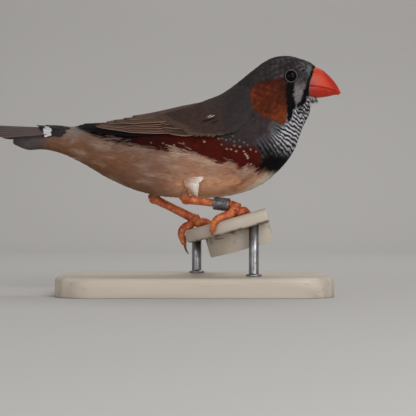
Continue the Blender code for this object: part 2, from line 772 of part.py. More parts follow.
def make_bill():
    """The upper and the lower half of the bill, with the line of the mouth between."""
    upper = bill_half(UPPER_BILL, 9, True)
    lower = bill_half(LOWER_BILL, 7, False)
    x, y, z = NOSTRIL
    for side in (-1, 1):
        cut(upper, ball("nostril", (x, side * y, z), NOSTRIL_RADIUS, 5, 8))
    point, normal = section_plane(0)
    for bill, name in ((upper, "bill_upper"), (lower, "bill_lower")):
        trim(bill, point - normal * GAP, normal)
        finish(bill, name, RED, 0.35, slot="bill")


def make_head():
    head = body_piece("head", 0, HEAD_END, 14)
    for side in (-1, 1):
        x, y, z = EYE_CENTRE
        union(head, [torus("lid", (x, side * (y + LID_OUT), z), LID_RADIUS, LID_THICKNESS)])
        cut(head, ball("socket", (x, side * y, z), EYE_RADIUS + GAP, 10, 16))
        name = "eye_left" if side > 0 else "eye_right"
        finish(ball("eye", (x, side * y, z), EYE_RADIUS, 10, 16), name, BLACK, 0.08, slot="eye")
    finish(head, "head", GREY, 0.8, slot="plumage")


def main():
    clear_scene()
    make_head()
    make_bill()
    finish(body_piece("neck", HEAD_END, NECK_END, 9), "neck", GREY, 0.8, slot="plumage")
    finish(body_piece("torso", NECK_END, TORSO_END, 18), "torso", CREAM, 0.8, slot="plumage")
    finish(body_piece("rump", TORSO_END, RUMP_END, 10), "rump", CREAM, 0.8, slot="plumage")
    finish(make_tail(), "tail", BLACK, 0.7, slot="flight_feather")

    wing = make_wing(BodySurface())
    finish(wing, "wing_right", BROWN, 0.7, slot="flight_feather")
    finish(mirrored(wing, "wing_left"), "wing_left", BROWN, 0.7, slot="flight_feather")

    guard = body_loft("guard", 6, len(BODY_SECTIONS) - 1, 34, BODY_SIDES, grow=GAP + 0.1)
    make_leg("right", RIGHT_KNEE, RIGHT_HEEL, RIGHT_JOINT, guard)
    make_leg("left", LEFT_KNEE, LEFT_HEEL, LEFT_JOINT, guard)
    bpy.data.objects.remove(guard, do_unlink=True)

    rim = Rim()
    finish(rim.solid(), "perch_rim", PLASTIC, 0.45)
    right_place = rim.left_most + RIM_BEND * math.radians(RIGHT_FOOT_TURN)
    make_foot(rim, "right", RIGHT_HEEL, RIGHT_JOINT, right_place, RIGHT_TOES)
    make_foot(rim, "left", LEFT_HEEL, LEFT_JOINT, rim.left_most, LEFT_TOES)
    band = RIGHT_HEEL.lerp(RIGHT_JOINT, RING_PLACE)
    finish(ring_band("band", band, RIGHT_JOINT - RIGHT_HEEL, RING_BORE, RING_OUTSIDE, RING_LENGTH),
           "leg_ring", METAL, 0.3, 1.0)
    make_stand(rim)


main()
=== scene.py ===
"""The looks of a life-size zebra finch on a short length of rim, held by a display stand.

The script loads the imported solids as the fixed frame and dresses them. The bird looks
along +X, its left side is +Y and +Z is up. Sizes are in millimetres until a mesh is made,
and colours are written as they look in soft light, from 0 to 255.
"""

import math

import bpy
import numpy as np
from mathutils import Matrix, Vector
from mathutils.bvhtree import BVHTree


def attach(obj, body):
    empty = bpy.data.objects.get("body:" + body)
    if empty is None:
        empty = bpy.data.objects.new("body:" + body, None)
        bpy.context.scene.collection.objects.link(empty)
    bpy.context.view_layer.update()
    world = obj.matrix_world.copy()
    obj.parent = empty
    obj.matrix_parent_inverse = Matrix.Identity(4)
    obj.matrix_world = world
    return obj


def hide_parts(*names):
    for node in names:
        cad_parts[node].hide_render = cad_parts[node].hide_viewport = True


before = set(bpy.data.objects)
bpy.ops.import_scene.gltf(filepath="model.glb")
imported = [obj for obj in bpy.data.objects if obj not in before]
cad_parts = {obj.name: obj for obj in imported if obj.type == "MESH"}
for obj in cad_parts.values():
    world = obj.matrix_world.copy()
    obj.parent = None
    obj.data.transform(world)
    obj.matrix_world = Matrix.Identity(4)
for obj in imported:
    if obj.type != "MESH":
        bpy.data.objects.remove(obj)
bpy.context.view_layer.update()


# The form of the plumage
# The smooth outline that the small feathers make together over the body. Every skin,
# feather and mark of the bird is placed on it, so it comes before the pieces.
MM = 0.001

# From the bill's base to the tail: the back's x and z, the belly's x and z, half the width.
BODY_SECTIONS = np.array([
    (37.5, 70.35, 33.6, 60.6, 3.85),
    (35.8, 71.65, 34.6, 59.0, 4.7),
    (33.0, 72.8, 35.6, 56.5, 5.8),
    (30.4, 73.6, 34.6, 54.0, 6.7),
    (27.4, 73.8, 33.3, 51.5, 7.3),
    (24.0, 73.2, 32.3, 48.8, 7.7),
    (20.5, 71.3, 31.4, 46.2, 8.3),
    (16.7, 68.4, 30.2, 43.6, 9.3),
    (12.7, 65.1, 28.2, 40.8, 10.6),
    (8.1, 61.8, 25.1, 37.5, 11.8),
    (2.5, 59.4, 20.5, 33.9, 12.3),
    (-3.4, 57.6, 13.9, 31.3, 12.2),
    (-9.6, 55.8, 6.2, 30.0, 11.7),
    (-15.8, 54.3, -2.2, 29.9, 10.8),
    (-22.0, 53.3, -10.8, 30.5, 9.5),
    (-27.9, 52.5, -19.2, 32.6, 7.9),
    (-33.2, 52.0, -27.0, 36.1, 6.4),
    (-37.8, 51.7, -34.4, 40.4, 5.1),
    (-41.9, 51.6, -41.2, 43.6, 4.2),
    (-46.5, 51.4, -46.8, 44.9, 3.3),
    (-51.1, 51.1, -51.8, 44.7, 2.6),
    (-55.6, 51.0, -56.4, 46.6, 1.4),
])
SECTION_END = len(BODY_SECTIONS) - 1
ROWS_PER_SECTION = 20
COLUMNS = 360


def smooth_rows(table, places):
    """Rows of a table at fractional places, on a cubic curve through its rows: each
    stretch starts and ends with half the difference of its neighbours as its slope."""
    table = np.asarray(table, float)
    places = np.atleast_1d(np.asarray(places, float))
    last = len(table) - 1
    i = np.clip(np.floor(places).astype(int), 0, last - 1)
    f = (places - i)[:, None]
    before, here, there = table[np.clip(i - 1, 0, last)], table[i], table[i + 1]
    after = table[np.clip(i + 2, 0, last)]
    return here + 0.5 * f * (
        there - before
        + f * (2 * before - 5 * here + 4 * there - after + f * (3 * (here - there) + after - before)))


def unit(vectors):
    return vectors / np.maximum(np.linalg.norm(vectors, axis=-1, keepdims=True), 1e-12)


class Surface:
    """A grid of points in rows and columns that feathers are laid on. It reads any place
    between them: the point, the outward normal and the size of one row and one column."""

    def __init__(self, points, wraps):
        self.wraps = wraps
        down = np.gradient(points, axis=0)
        if wraps:
            across = (np.roll(points, -1, 1) - np.roll(points, 1, 1)) / 2
        else:
            across = np.gradient(points, axis=1)
        sizes = [np.linalg.norm(step, axis=2, keepdims=True) for step in (down, across)]
        self.table = np.concatenate([points, unit(np.cross(across, down)), *sizes], axis=2)

    def read(self, row, column):
        """The four neighbours of each place, weighted by how near they are."""
        rows, columns = self.table.shape[:2]
        row = np.clip(row, 0, rows - 1.001)
        i = row.astype(int)
        if self.wraps:
            j = np.floor(column).astype(int)
            f, g = (row - i)[..., None], (column - j)[..., None]
            j, k = j % columns, (j + 1) % columns
        else:
            column = np.clip(column, 0, columns - 1.001)
            j = column.astype(int)
            f, g = (row - i)[..., None], (column - j)[..., None]
            k = j + 1
        t = self.table
        return (t[i, j] * (1 - f) + t[i + 1, j] * f) * (1 - g) + (t[i, k] * (1 - f) + t[i + 1, k] * f) * g

    def at(self, row, column, height):
        """Points at a height over the surface, and the normals there."""
        found = self.read(row, column)
        normal = unit(found[..., 3:6])
        return found[..., :3] + normal * np.asarray(height)[..., None], normal


def plumage_rings(rows):
    """Oval rings: the middle of each section, plus its axis times the cosine and its
    half width times the sine of an angle that runs from the back round the left side."""
    table = smooth_rows(BODY_SECTIONS, np.linspace(0, SECTION_END, rows))
    back, belly, width = table[:, 0:2], table[:, 2:4], table[:, 4]
    middle, axis = (back + belly) / 2, (back - belly) / 2
    angle = np.linspace(0, 2 * math.pi, COLUMNS, endpoint=False)
    side = middle[:, None] + axis[:, None] * np.cos(angle)[None, :, None]
    return np.stack([side[..., 0], width[:, None] * np.sin(angle), side[..., 1]], axis=2)


body = Surface(plumage_rings(SECTION_END * ROWS_PER_SECTION + 1), wraps=True)


# The markings
# A male's pattern, as one rule that gives the colour at any point of the bird, so that
# the skin and the feathers over it carry the same marks on both sides.
def paint(red, green, blue):
    """The light a surface of this written colour gives back."""
    share = np.array((red, green, blue), float) / 255
    return np.where(share <= 0.04045, share / 12.92, ((share + 0.055) / 1.055) ** 2.4)


CROWN = paint(56, 50, 51)
CROWN_PALE = paint(92, 84, 84)
MANTLE = paint(74, 62, 55)
NECK_GREY = paint(64, 55, 55)
CHEEK = paint(86, 38, 21)
CHEEK_BRIGHT = paint(130, 60, 30)
CHEEK_DARK = paint(64, 30, 23)
CHEEK_EDGE = paint(168, 118, 88)
LORE = paint(134, 127, 128)
LORE_TOP = paint(76, 70, 71)
FORE_GREY = paint(104, 96, 99)
FOREHEAD_BLUE = paint(112, 118, 120)
BLACK = paint(12, 9, 11)
BAR_LIGHT = paint(224, 222, 228)
BAR_DIM = paint(92, 88, 94)
BAR_BLUE = paint(118, 126, 132)
FLANK = paint(84, 23, 13)
FLANK_DARK = paint(54, 16, 11)
BELLY = paint(190, 140, 112)
BELLY_SIDE = paint(148, 108, 88)
BELLY_WHITE = paint(232, 216, 198)
BELLY_CREAM = paint(255, 236, 212)
# Painted light and shade on the belly: its lower front painted paler, and its fold and sheen patches painted
# darker.
BELLY_LIT_BELOW = paint(240, 180, 140)
BELLY_SHADE = paint(150, 100, 74)
TAIL_GREY = paint(100, 90, 92)
VENT = paint(140, 99, 75)
VENT_PALE = paint(142, 126, 116)
RUMP_WHITE = paint(150, 138, 130)


def ripple(points, size, seed):
    """A smooth uneven field between about -1 and 1: a sum of waves in drawn directions,
    with lengths about the given size in millimetres."""
    draw = np.random.default_rng(seed)
    total = np.zeros(points.shape[:-1])
    for _ in range(6):
        direction = unit(draw.normal(size=3)) * 2 * math.pi / (size * draw.uniform(0.7, 1.5))
        total += np.sin(points @ direction + draw.uniform(0, 2 * math.pi))
    return total / 3.2


def ease(value, start, end):
    """0 before start, 1 after end, and a smooth step between."""
    f = np.clip((value - start) / (end - start), 0, 1)
    return f * f * (3 - 2 * f)


def inside(x, z, outline, soft):
    """1 well inside a closed outline seen from the side, 0 outside, soft over its edge:
    the distance to the nearest side of the outline, with its sign from the crossings."""
    outline = np.array(outline)
    crossings = np.zeros(x.shape, int)
    nearest = np.full(x.shape, 1e9)
    for (x0, z0), (x1, z1) in zip(outline, np.roll(outline, -1, axis=0)):
        run_x, run_z = x1 - x0, z1 - z0
        f = np.clip(((x - x0) * run_x + (z - z0) * run_z) / (run_x ** 2 + run_z ** 2), 0, 1)
        nearest = np.minimum(nearest, np.hypot(x - x0 - run_x * f, z - z0 - run_z * f))
        if z0 != z1:
            crossings += ((z0 > z) != (z1 > z)) & (x < run_x * (z - z0) / run_z + x0)
    signed = np.where(crossings % 2 == 1, nearest, -nearest)
    return ease(signed, -soft, soft)


CHEEK_OUTLINE = [
    (17.3, 63.1), (18.2, 64.0), (19.7, 65.3), (21.8, 66.0), (24.5, 66.3), (25.7, 66.8),
    (27.2, 66.5), (28.2, 64.4), (28.5, 61.2), (28.6, 58.1), (28.2, 55.7), (27.7, 53.7),
    (26.7, 52.2), (25.4, 53.0), (23.5, 54.1), (20.9, 54.6), (19.1, 56.4), (17.9, 58.0),
    (16.8, 60.2), (16.7, 61.7)]
LORE_OUTLINE = [
    (31.2, 65.4), (31.9, 66.9), (33.2, 68.2), (34.9, 68.4), (35.2, 66.6), (34.6, 64.8),
    (34.3, 63.4), (33.2, 61.4), (32.4, 59.6), (31.4, 58.7), (30.6, 59.8), (30.5, 61.9), (30.6, 64.0)]
BLUE_OUTLINE = [(34.2, 69.7), (35.4, 70.6), (36.6, 70.0), (35.9, 67.6), (34.8, 66.0), (34.2, 67.3)]
TEAR_OUTLINE = [
    (28.0, 65.3), (29.6, 64.6), (30.9, 65.3), (30.8, 62.8), (30.8, 60.8), (30.8, 58.6),
    (30.6, 56.6), (30.0, 54.8), (29.2, 53.2), (28.3, 52.6), (28.2, 55.2), (28.4, 58.2), (28.2, 61.2)]
BILL_LINE = [
    (36.4, 70.6), (35.7, 68.4), (35.1, 66.6), (34.4, 65.2), (33.7, 63.2), (32.8, 61.0),
    (31.9, 58.9), (31.0, 57.4), (31.8, 56.9), (33.2, 58.3), (34.4, 60.2), (35.2, 62.3),
    (36.2, 65.2), (37.2, 67.4), (38.4, 69.4), (39.5, 71.5)]
BAR_OUTLINE = [
    (38.0, 60.6), (35.5, 60.8), (33.7, 59.9), (31.8, 58.4), (30.0, 56.8), (28.6, 54.5),
    (27.4, 52.2), (25.1, 52.5), (22.4, 53.3), (19.6, 52.0), (18.5, 49.3), (18.7, 46.8),
    (20.0, 44.4), (21.2, 41.6), (24.4, 40.0), (28.2, 38.6), (33.0, 38.4), (38.0, 50.5), (40.0, 56.6)]
PATCH_OUTLINE = [
    (20.0, 40.4), (21.3, 42.2), (23.0, 43.0), (25.1, 42.9), (27.2, 43.2), (29.2, 43.0),
    (32.0, 42.0), (29.0, 39.6), (24.0, 37.2), (21.4, 38.1), (19.9, 39.1)]
FLANK_TOP = np.array([
    (-33.0, 50.6), (-24.0, 50.6), (-13.5, 50.6), (-5.4, 50.5), (3.1, 49.9), (6.2, 48.9),
    (9.5, 46.8), (13.1, 45.9), (16.8, 45.7), (19.2, 45.2), (20.6, 43.3), (21.1, 41.2), (20.6, 39.6)])
FLANK_LOW = np.array([
    (-33.0, 50.2), (-30.0, 48.7), (-26.3, 47.2), (-22.6, 45.8), (-17.8, 45.3), (-11.4, 44.5),
    (-5.7, 43.5), (-1.4, 43.2), (1.9, 42.4), (5.2, 40.9), (7.4, 40.0), (10.1, 40.7), (12.5, 40.3),
    (14.6, 38.2), (17.4, 38.0), (20.1, 37.3), (21.4, 37.0)])
# The middle of the barred front, along the lie of its feathers: the bars cross it squarely.
BAR_SPINE = np.array([
    (37.6, 62.6), (35.6, 59.3), (33.6, 56.2), (31.7, 53.2), (30.4, 51.0), (29.5, 49.2),
    (28.3, 47.0), (26.6, 45.1), (24.6, 43.5), (22.2, 41.9), (19.8, 40.2), (16.5, 37.8)])
BAR_PERIODS = (1.02, 1.36)


def bar_field():
    """How far along the barred front each place lies, in bars that widen downwards: the
    length along the front's middle line at its nearest point, on a grid of x and z."""
    spine = smooth_rows(BAR_SPINE, np.linspace(0, len(BAR_SPINE) - 1, 200))
    step = np.linalg.norm(np.diff(spine, axis=0), axis=1)
    run = np.concatenate([[0], np.cumsum(step / np.linspace(*BAR_PERIODS, len(step)))])
    x, z = np.meshgrid(np.linspace(14, 42, 141), np.linspace(34, 66, 161), indexing="ij")
    far = (x[..., None] - spine[:, 0]) ** 2 + (z[..., None] - spine[:, 1]) ** 2
    return run[far.argmin(axis=2)]


BAR_FIELD = bar_field()


def bars_at(x, z):
    """The bar field between the places of its grid."""
    i = np.clip((x - 14) / 0.2, 0, 139.999)
    j = np.clip((z - 34) / 0.2, 0, 159.999)
    a, b = i.astype(int), j.astype(int)
    f, g = i - a, j - b
    here = BAR_FIELD[a, b] * (1 - f) + BAR_FIELD[a + 1, b] * f
    there = BAR_FIELD[a, b + 1] * (1 - f) + BAR_FIELD[a + 1, b + 1] * f
    return here * (1 - g) + there * g


def blend(colour, other, share):
    return colour * (1 - share[..., None]) + other * share[..., None]


def painted(colour, *layers):
    """A colour under layers of others, each given with its share."""
    for other, share in layers:
        colour = blend(colour, other, share)
    return colour


def markings(points):
    """The plumage's colour, and how strongly the bars show."""
    wander = 0.35 * ripple(points, 2.4, 5)
    x, z = points[..., 0] + wander, points[..., 2] + 0.3 * ripple(points, 2.1, 6)
    colour = blend(CROWN, MANTLE, ease(x - 0.4 * (z - 60), 13, 1))
    colour = blend(colour, NECK_GREY, ease(z, 60, 52) * ease(x, 8, 16))
    mottled = ripple(points, 1.5, 14) + 0.8 * ripple(points, 0.8, 15)
    crown = ease(x, 17, 27) * ease(z, 64, 68)
    colour = blend(colour, CROWN_PALE, 0.75 * crown * ease(mottled, 0.15, 0.9))
    colour = blend(colour, BLACK, 0.6 * crown * ease(mottled, -0.2, -1.0))

    # The belly and the vent, up to a line that runs under the wing.
    edge = np.interp(x, (-60, -40, -24, -10, 8, 18, 24), (49.6, 49.2, 49.2, 46.5, 46.0, 43.0, 38.0))
    under = ease(edge - z, -0.8, 0.9)
    belly = painted(
        BELLY,
        (BELLY_SIDE, ease(x + 0.5 * (44 - z), 4, -10)),
        (VENT, ease(x, -12, -26)),
        (VENT_PALE, 0.8 * ease(z + 0.3 * x, 38.4, 41.4) * ease(x, -6, -16)))
    # Painted sheen: soft patches over the belly painted paler and darker. Painted light: the belly's lower
    # front painted paler, where light from below falls.
    painted_sheen = ripple(points * (0.35, 0.6, 1.0), 3.6, 16)
    belly = painted(
        belly,
        (BELLY_WHITE, 0.22 * ease(painted_sheen, 0.1, 1.0)),
        (BELLY_SHADE, 0.25 * ease(painted_sheen, -0.1, -1.0)),
        (BELLY_LIT_BELOW, ease(z, 38, 33) * ease(x, -10, 0)))
    keel = ease(np.abs(points[..., 1]) - 2.5 * ease(x, 14, 20), 4.2, 1.8) * ease(x - 0.5 * z, -19, -8)
    # Painted shade: an arc where the breast folds over the belly is painted darker.
    fold = np.abs(np.hypot(x - 7.5, z - 45.0) - 12.9)
    belly = blend(belly, BELLY_CREAM, keel)
    belly = blend(belly, BELLY_SHADE, 0.7 * ease(fold, 0.9, 0.1) * ease(x, 9, 13) * (z < 44))
    colour = blend(colour, belly, under)
    rump = ease(x, -30, -36) * ease(z, 47.5, 49.5)
    colour = blend(colour, RUMP_WHITE, rump)
    colour = blend(colour, TAIL_GREY, ease(x, -43, -48))

    # The chestnut flank, between a line hidden by the wing and a wavy lower one.
    top = np.interp(x, FLANK_TOP[:, 0], FLANK_TOP[:, 1], left=0, right=0)
    low = np.interp(x, FLANK_LOW[:, 0], FLANK_LOW[:, 1], left=99, right=99)
    flank = ease(top - z, -0.35, 0.35) * ease(z - low, -0.35, 0.35)
    # Black at the flank's rear end is painted shadow under the wing's lower edge, and partly the black
    # feathers of the rump's side.
    chestnut = painted(
        FLANK,
        (FLANK_DARK, ease(x, 2, -14)),
        (FLANK_DARK, 0.6 * ease(ripple(points, 3.2, 8), 0.1, 0.9)),
        (BLACK, 0.8 * ease(x, -15, -21)))
    colour = blend(colour, chestnut, flank)

    # The barred throat and breast, and the black patch below them. The pale bars are
    # brightest down the middle, and dim to the sides and towards the patch.
    bars = inside(x, z, BAR_OUTLINE, 0.7)
    dim = ease(x + 0.35 * z, 44.5, 38.0)
    light = painted(
        BAR_LIGHT,
        (BAR_DIM, 0.93 * dim),
        (BLACK, 0.85 * ease(z + 0.1 * x, 50.5, 45.0)),
        (BAR_DIM, 0.7 * ease(ripple(points, 1.3, 17), 0.1, 0.8)),
        (BLACK, 0.55 * ease(ripple(points, 1.1, 21), 0.0, 0.7) * ease(x, 29, 25)))
    chin = ease(z + 0.3 * x, 63.5, 66.5)
    light = blend(light, BLACK, 0.9 * chin * ease(ripple(points, 0.9, 18), -0.2, 0.35))
    light = blend(light, BAR_BLUE, ease(np.hypot(x - 25.6, z - 51.4), 2.4, 1.0))
    fan = ease(np.hypot(x - 19.4, z - 52.6), 3.0, 7.4)
    colour = blend(colour, light, bars * fan)
    strength = bars * (1 - 0.15 * dim) * fan
    patch = inside(x, z, PATCH_OUTLINE, 0.8)
    colour = blend(colour, BLACK, patch)

    # The face.
    cheek = inside(x, z, CHEEK_OUTLINE, 0.4)
    bright = ease(x - z, -33.5, -29.0) + 0.5 * ease(20.5 - x, 0, 2.5)
    chest = painted(
        CHEEK,
        (CHEEK_BRIGHT, np.clip(bright + 0.6 * ripple(points, 1.4, 9), 0, 1)),
        (CHEEK_DARK, 0.35 * ease(ripple(points * (1.0, 1.0, 0.5), 1.0, 19), 0.1, 0.9)),
        (CHEEK_DARK, 0.8 * np.maximum(ease(z, 62.5, 66.0), ease(x + 0.4 * z, 49.0, 53.0))),
        (CHEEK_EDGE, ease(x, 27.0, 28.2) * ease(z, 56.0, 54.0)))
    colour = blend(colour, chest, cheek)
    fore = ease(np.hypot(x - 33.6, 1.2 * (z - 70.4)), 3.4, 1.2)
    spots = ripple(points, 0.9, 12) + 0.6 * ripple(points, 0.5, 13)
    colour = painted(
        colour,
        (FORE_GREY, fore * ease(spots, -0.3, 0.3)),
        (BLACK, fore * ease(spots, 0.15, -0.3)),
        (FOREHEAD_BLUE, inside(x, z, BLUE_OUTLINE, 0.5)))
    lore = inside(x, z, LORE_OUTLINE, 0.35)
    white = blend(LORE, LORE_TOP, ease(z, 62.8, 66.2))
    white = blend(white, BLACK, 0.8 * ease(spots, 0.15, 0.8) * (0.3 + 0.7 * ease(z, 62.5, 66.5)))
    colour = blend(colour, white, lore)
    line = inside(x, z, BILL_LINE, 0.3) * (1 - 0.2 * ease(np.abs(z - 65.6), 1.6, 0.4))
    dark = np.maximum(inside(x, z, TEAR_OUTLINE, 0.3), line)
    colour = blend(colour, BLACK, dark)
    strength = strength * (1 - np.maximum.reduce([cheek, dark, patch]))
    return colour, strength


def bar_phase(points):
    """The place among the bars, which run more unevenly towards the chin."""
    uneven = 0.22 + 0.16 * ease(points[..., 2] + 0.3 * points[..., 0], 61.5, 65.5)
    return bars_at(points[..., 0], points[..., 2]) + uneven * ripple(points, 2.3, 10)


# Skin
# The bird's own skin, one surface from the bill to the tail under all the feathers. It
# lies a coat's depth inside the plumage, and takes the colours of the feathers over it.
COAT_DEPTH = 0.9


def grid_faces(rows, columns, closed, closed_rows=False):
    """Four-sided faces between neighbouring rows and columns, the last column joined to
    the first where the grid closes round, and the last row where the rows do. A column's
    step crossed with a row's points out."""
    rows_used = rows if closed_rows else rows - 1
    columns_used = columns if closed else columns - 1
    i, j = np.meshgrid(np.arange(rows_used), np.arange(columns_used), indexing="ij")
    here, there = i * columns, (i + 1) % rows * columns
    k = (j + 1) % columns
    return np.stack([here + j, here + k, there + k, there + j], axis=-1).reshape(-1, 4)


def closed_faces(rows, ring, count=1):
    """The faces of rings in a row, closed by one face at each end, for a number of like
    bodies. Each ring runs anticlockwise round the way that the rings follow."""
    start = rows * ring * np.arange(count)[:, None, None]
    sides = (grid_faces(rows, ring, closed=True)[None] + start).reshape(-1, 4)
    around = np.arange(ring)
    ends = np.stack([around[::-1], around + (rows - 1) * ring])
    return [sides, (ends[None] + start).reshape(-1, ring)]


def new_mesh(name, points, face_groups):
    """A mesh from points in millimetres and arrays of faces with three or more corners."""
    mesh = bpy.data.meshes.new(name)
    points = np.ascontiguousarray(points, np.float32).reshape(-1, 3) * MM
    mesh.vertices.add(len(points))
    mesh.vertices.foreach_set("co", points.ravel())
    corners = np.concatenate([group.ravel() for group in face_groups]).astype(np.int32)
    counts = np.concatenate([np.full(len(group), group.shape[1]) for group in face_groups])
    mesh.loops.add(len(corners))
    mesh.loops.foreach_set("vertex_index", corners)
    mesh.polygons.add(len(counts))
    mesh.polygons.foreach_set("loop_start", (np.cumsum(counts) - counts).astype(np.int32))
    mesh.update(calc_edges=True)
    mesh.shade_smooth()
    return mesh


def put_in_scene(name, data):
    made = bpy.data.objects.new(name, data)
    bpy.context.scene.collection.objects.link(made)
    return made


def wear(mesh, material, slot, *nodes):
    """One piece of the object from a mesh: it rides on the bird's one body, wears the
    material given, and stands for the CAD nodes named. The slot is not used."""
    piece = put_in_scene(mesh.name, mesh)
    mesh.materials.clear()
    mesh.materials.append(material)
    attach(piece, "root")
    if nodes:
        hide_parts(*nodes)
    return piece


def set_field(mesh, name, values):
    """A number or a colour at each point of the mesh, for its material to read."""
    if values.ndim == 1:
        mesh.attributes.new(name, "FLOAT", "POINT").data.foreach_set("value", values.astype(np.float32))
    else:
        full = np.concatenate([values, np.ones((len(values), 1))], axis=1).astype(np.float32)
        mesh.attributes.new(name, "FLOAT_COLOR", "POINT").data.foreach_set("color", full.ravel())


def set_map(mesh, name, places):
    """A UV map from one place for each point of the mesh."""
    corners = np.empty(len(mesh.loops), np.int32)
    mesh.loops.foreach_get("vertex_index", corners)
    mesh.uv_layers.new(name=name).data.foreach_set("uv", places[corners].astype(np.float32).ravel())


def mark(mesh, points, shade=1.0, own_colour=None, bars_from=None):
    """Gives a mesh the bird's markings at its points, or a colour of its own. The bars
    can be read at other points."""
    colour, strength = markings(points)
    if own_colour is not None:
        colour, strength = own_colour, 0 * strength
    shade = np.broadcast_to(shade, strength.shape)
    set_field(mesh, "plumage", np.clip(colour * shade[..., None], 0, 1))
    set_field(mesh, "bar", bar_phase(points if bars_from is None else bars_from))
    set_field(mesh, "barred", strength)


def new_material(name, roughness, **sockets):
    """A material with one Principled shader. A plain value is set on its own socket."""
    material = bpy.data.materials.new(name)
    material.use_nodes = True
    shader = material.node_tree.nodes["Principled BSDF"]
    shader.inputs["Roughness"].default_value = roughness
    for socket, value in sockets.items():
        shader.inputs[socket.replace("_", " ")].default_value = value
    return material, material.node_tree, shader


def node(tree, kind, links=None, **settings):
    """A node with its settings, and its inputs filled from links or values."""
    made = tree.nodes.new(kind)
    for name, value in settings.items():
        setattr(made, name, value)
    for socket, value in (links or {}).items():
        if isinstance(value, bpy.types.NodeSocket):
            tree.links.new(value, made.inputs[socket])
        else:
            made.inputs[socket].default_value = value
    return made


def new_group(name, inputs, outputs):
    """An empty node group with named sockets: (name, kind, value) in, (name, kind) out."""
    group = bpy.data.node_groups.new(name, "ShaderNodeTree")
    for label, kind, value in inputs:
        socket = group.interface.new_socket(label, in_out="INPUT", socket_type=kind)
        socket.default_value = value
    for label, kind in outputs:
        group.interface.new_socket(label, in_out="OUTPUT", socket_type=kind)
    return group, group.nodes.new("NodeGroupInput").outputs, group.nodes.new("NodeGroupOutput").inputs


def object_place(tree):
    return node(tree, "ShaderNodeTexCoord").outputs["Object"]


def read_field(tree, name, output="Fac"):
    """The value that set_field gave each point of the mesh."""
    return node(tree, "ShaderNodeAttribute", attribute_name=name).outputs[output]


def stretched(tree, vector, scale, rotation=(0.0, 0.0, 0.0)):
    """Places scaled by a different number each way, which draws a pattern out in lines."""
    return node(tree, "ShaderNodeMapping", {"Vector": vector, "Scale": scale,
                                            "Rotation": rotation}).outputs["Vector"]


def raise_surface(tree, shader, height, strength, distance):
    """Relief in the shader's surface, whose full height is the distance in metres."""
    bump = node(tree, "ShaderNodeBump", {"Strength": strength, "Distance": distance, "Height": height})
    tree.links.new(bump.outputs["Normal"], shader.inputs["Normal"])


def tint(tree, shader, colour):
    tree.links.new(colour, shader.inputs["Base Color"])


def math_node(tree, operation, a, b=0.0, c=0.0):
    return node(tree, "ShaderNodeMath", {0: a, 1: b, 2: c}, operation=operation).outputs[0]


def smooth_between(tree, value, low, high):
    """0 below low, 1 above high and smooth between."""
    return node(tree, "ShaderNodeMapRange", {"Value": value, "From Min": low, "From Max": high},
                interpolation_type="SMOOTHSTEP").outputs["Result"]


def noise_at(tree, vector, scale, detail=2.0, roughness=0.5):
    return node(tree, "ShaderNodeTexNoise", {"Vector": vector, "Scale": scale, "Detail": detail,
                                             "Roughness": roughness}).outputs["Fac"]


def mixed(tree, factor, a, b, blend_type="MIX"):
    """Two colours mixed."""
    made = node(tree, "ShaderNodeMix", data_type="RGBA", blend_type=blend_type)
    for socket, value in (("Factor_Float", factor), ("A_Color", a), ("B_Color", b)):
        target = next(s for s in made.inputs if s.identifier == socket)
        if isinstance(value, bpy.types.NodeSocket):
            tree.links.new(value, target)
        else:
            target.default_value = value if isinstance(value, float) else (*value, 1.0)
    return next(s for s in made.outputs if s.identifier == "Result_Color")


def barb_group():
    """Barbs: fine streaks along a feather, from its own map in millimetres, which darken
    its colour a little and raise its surface."""
    group, given, made = new_group(
        "barbs",
        [("Colour", "NodeSocketColor", (0.5, 0.5, 0.5, 1)), ("Bar", "NodeSocketFloat", 0.0),
         ("Barred", "NodeSocketFloat", 0.0), ("Depth", "NodeSocketFloat", 0.3)],
        [("Colour", "NodeSocketColor"), ("Height", "NodeSocketFloat")])
    place = node(group, "ShaderNodeUVMap", uv_map="Barbs").outputs["UV"]
    fine = stretched(group, place, (9.0, 0.7, 1.0))
    streak = noise_at(group, fine, 1.6, 3.0, 0.6)
    shade = math_node(group, "MULTIPLY_ADD", math_node(group, "SUBTRACT", streak, 0.5), given["Depth"], 1.0)
    where = object_place(group)
    fray = math_node(group, "MULTIPLY_ADD", math_node(group, "SUBTRACT", noise_at(group, where, 1500.0), 0.5),
                     0.25, given["Bar"])
    wave = math_node(group, "SINE", math_node(group, "MULTIPLY", fray, 2 * math.pi))
    dark = math_node(group, "MULTIPLY", smooth_between(group, wave, -0.35, 0.15), given["Barred"])
    keep = math_node(group, "MULTIPLY_ADD", dark, -0.95, 1.0)
    shade = math_node(group, "MULTIPLY", shade, keep)
    grey = node(group, "ShaderNodeCombineColor", {"Red": shade, "Green": shade, "Blue": shade})
    group.links.new(mixed(group, 1.0, given["Colour"], grey.outputs["Color"], "MULTIPLY"), made["Colour"])
    group.links.new(streak, made["Height"])
    return group


barbs = barb_group()


def feather_material(name, depth, bump, roughness, sheen):
    """Soft feathers: the markings, broken up by barbs."""
    material, tree, shader = new_material(name, roughness, Sheen_Weight=sheen, Sheen_Roughness=0.4,
                                          Specular_IOR_Level=0.1)
    streaks = node(tree, "ShaderNodeGroup", node_tree=barbs)
    streaks.inputs["Depth"].default_value = depth
    for attribute, socket, output in (("plumage", "Colour", "Color"), ("bar", "Bar", "Fac"),
                                      ("barred", "Barred", "Fac")):
        tree.links.new(read_field(tree, attribute, output), streaks.inputs[socket])
    tint(tree, shader, streaks.outputs["Colour"])
    raise_surface(tree, shader, streaks.outputs["Height"], bump, 0.00005)
    return material


plumage_material = feather_material("plumage", depth=0.7, bump=0.6, roughness=0.8, sheen=0.015)


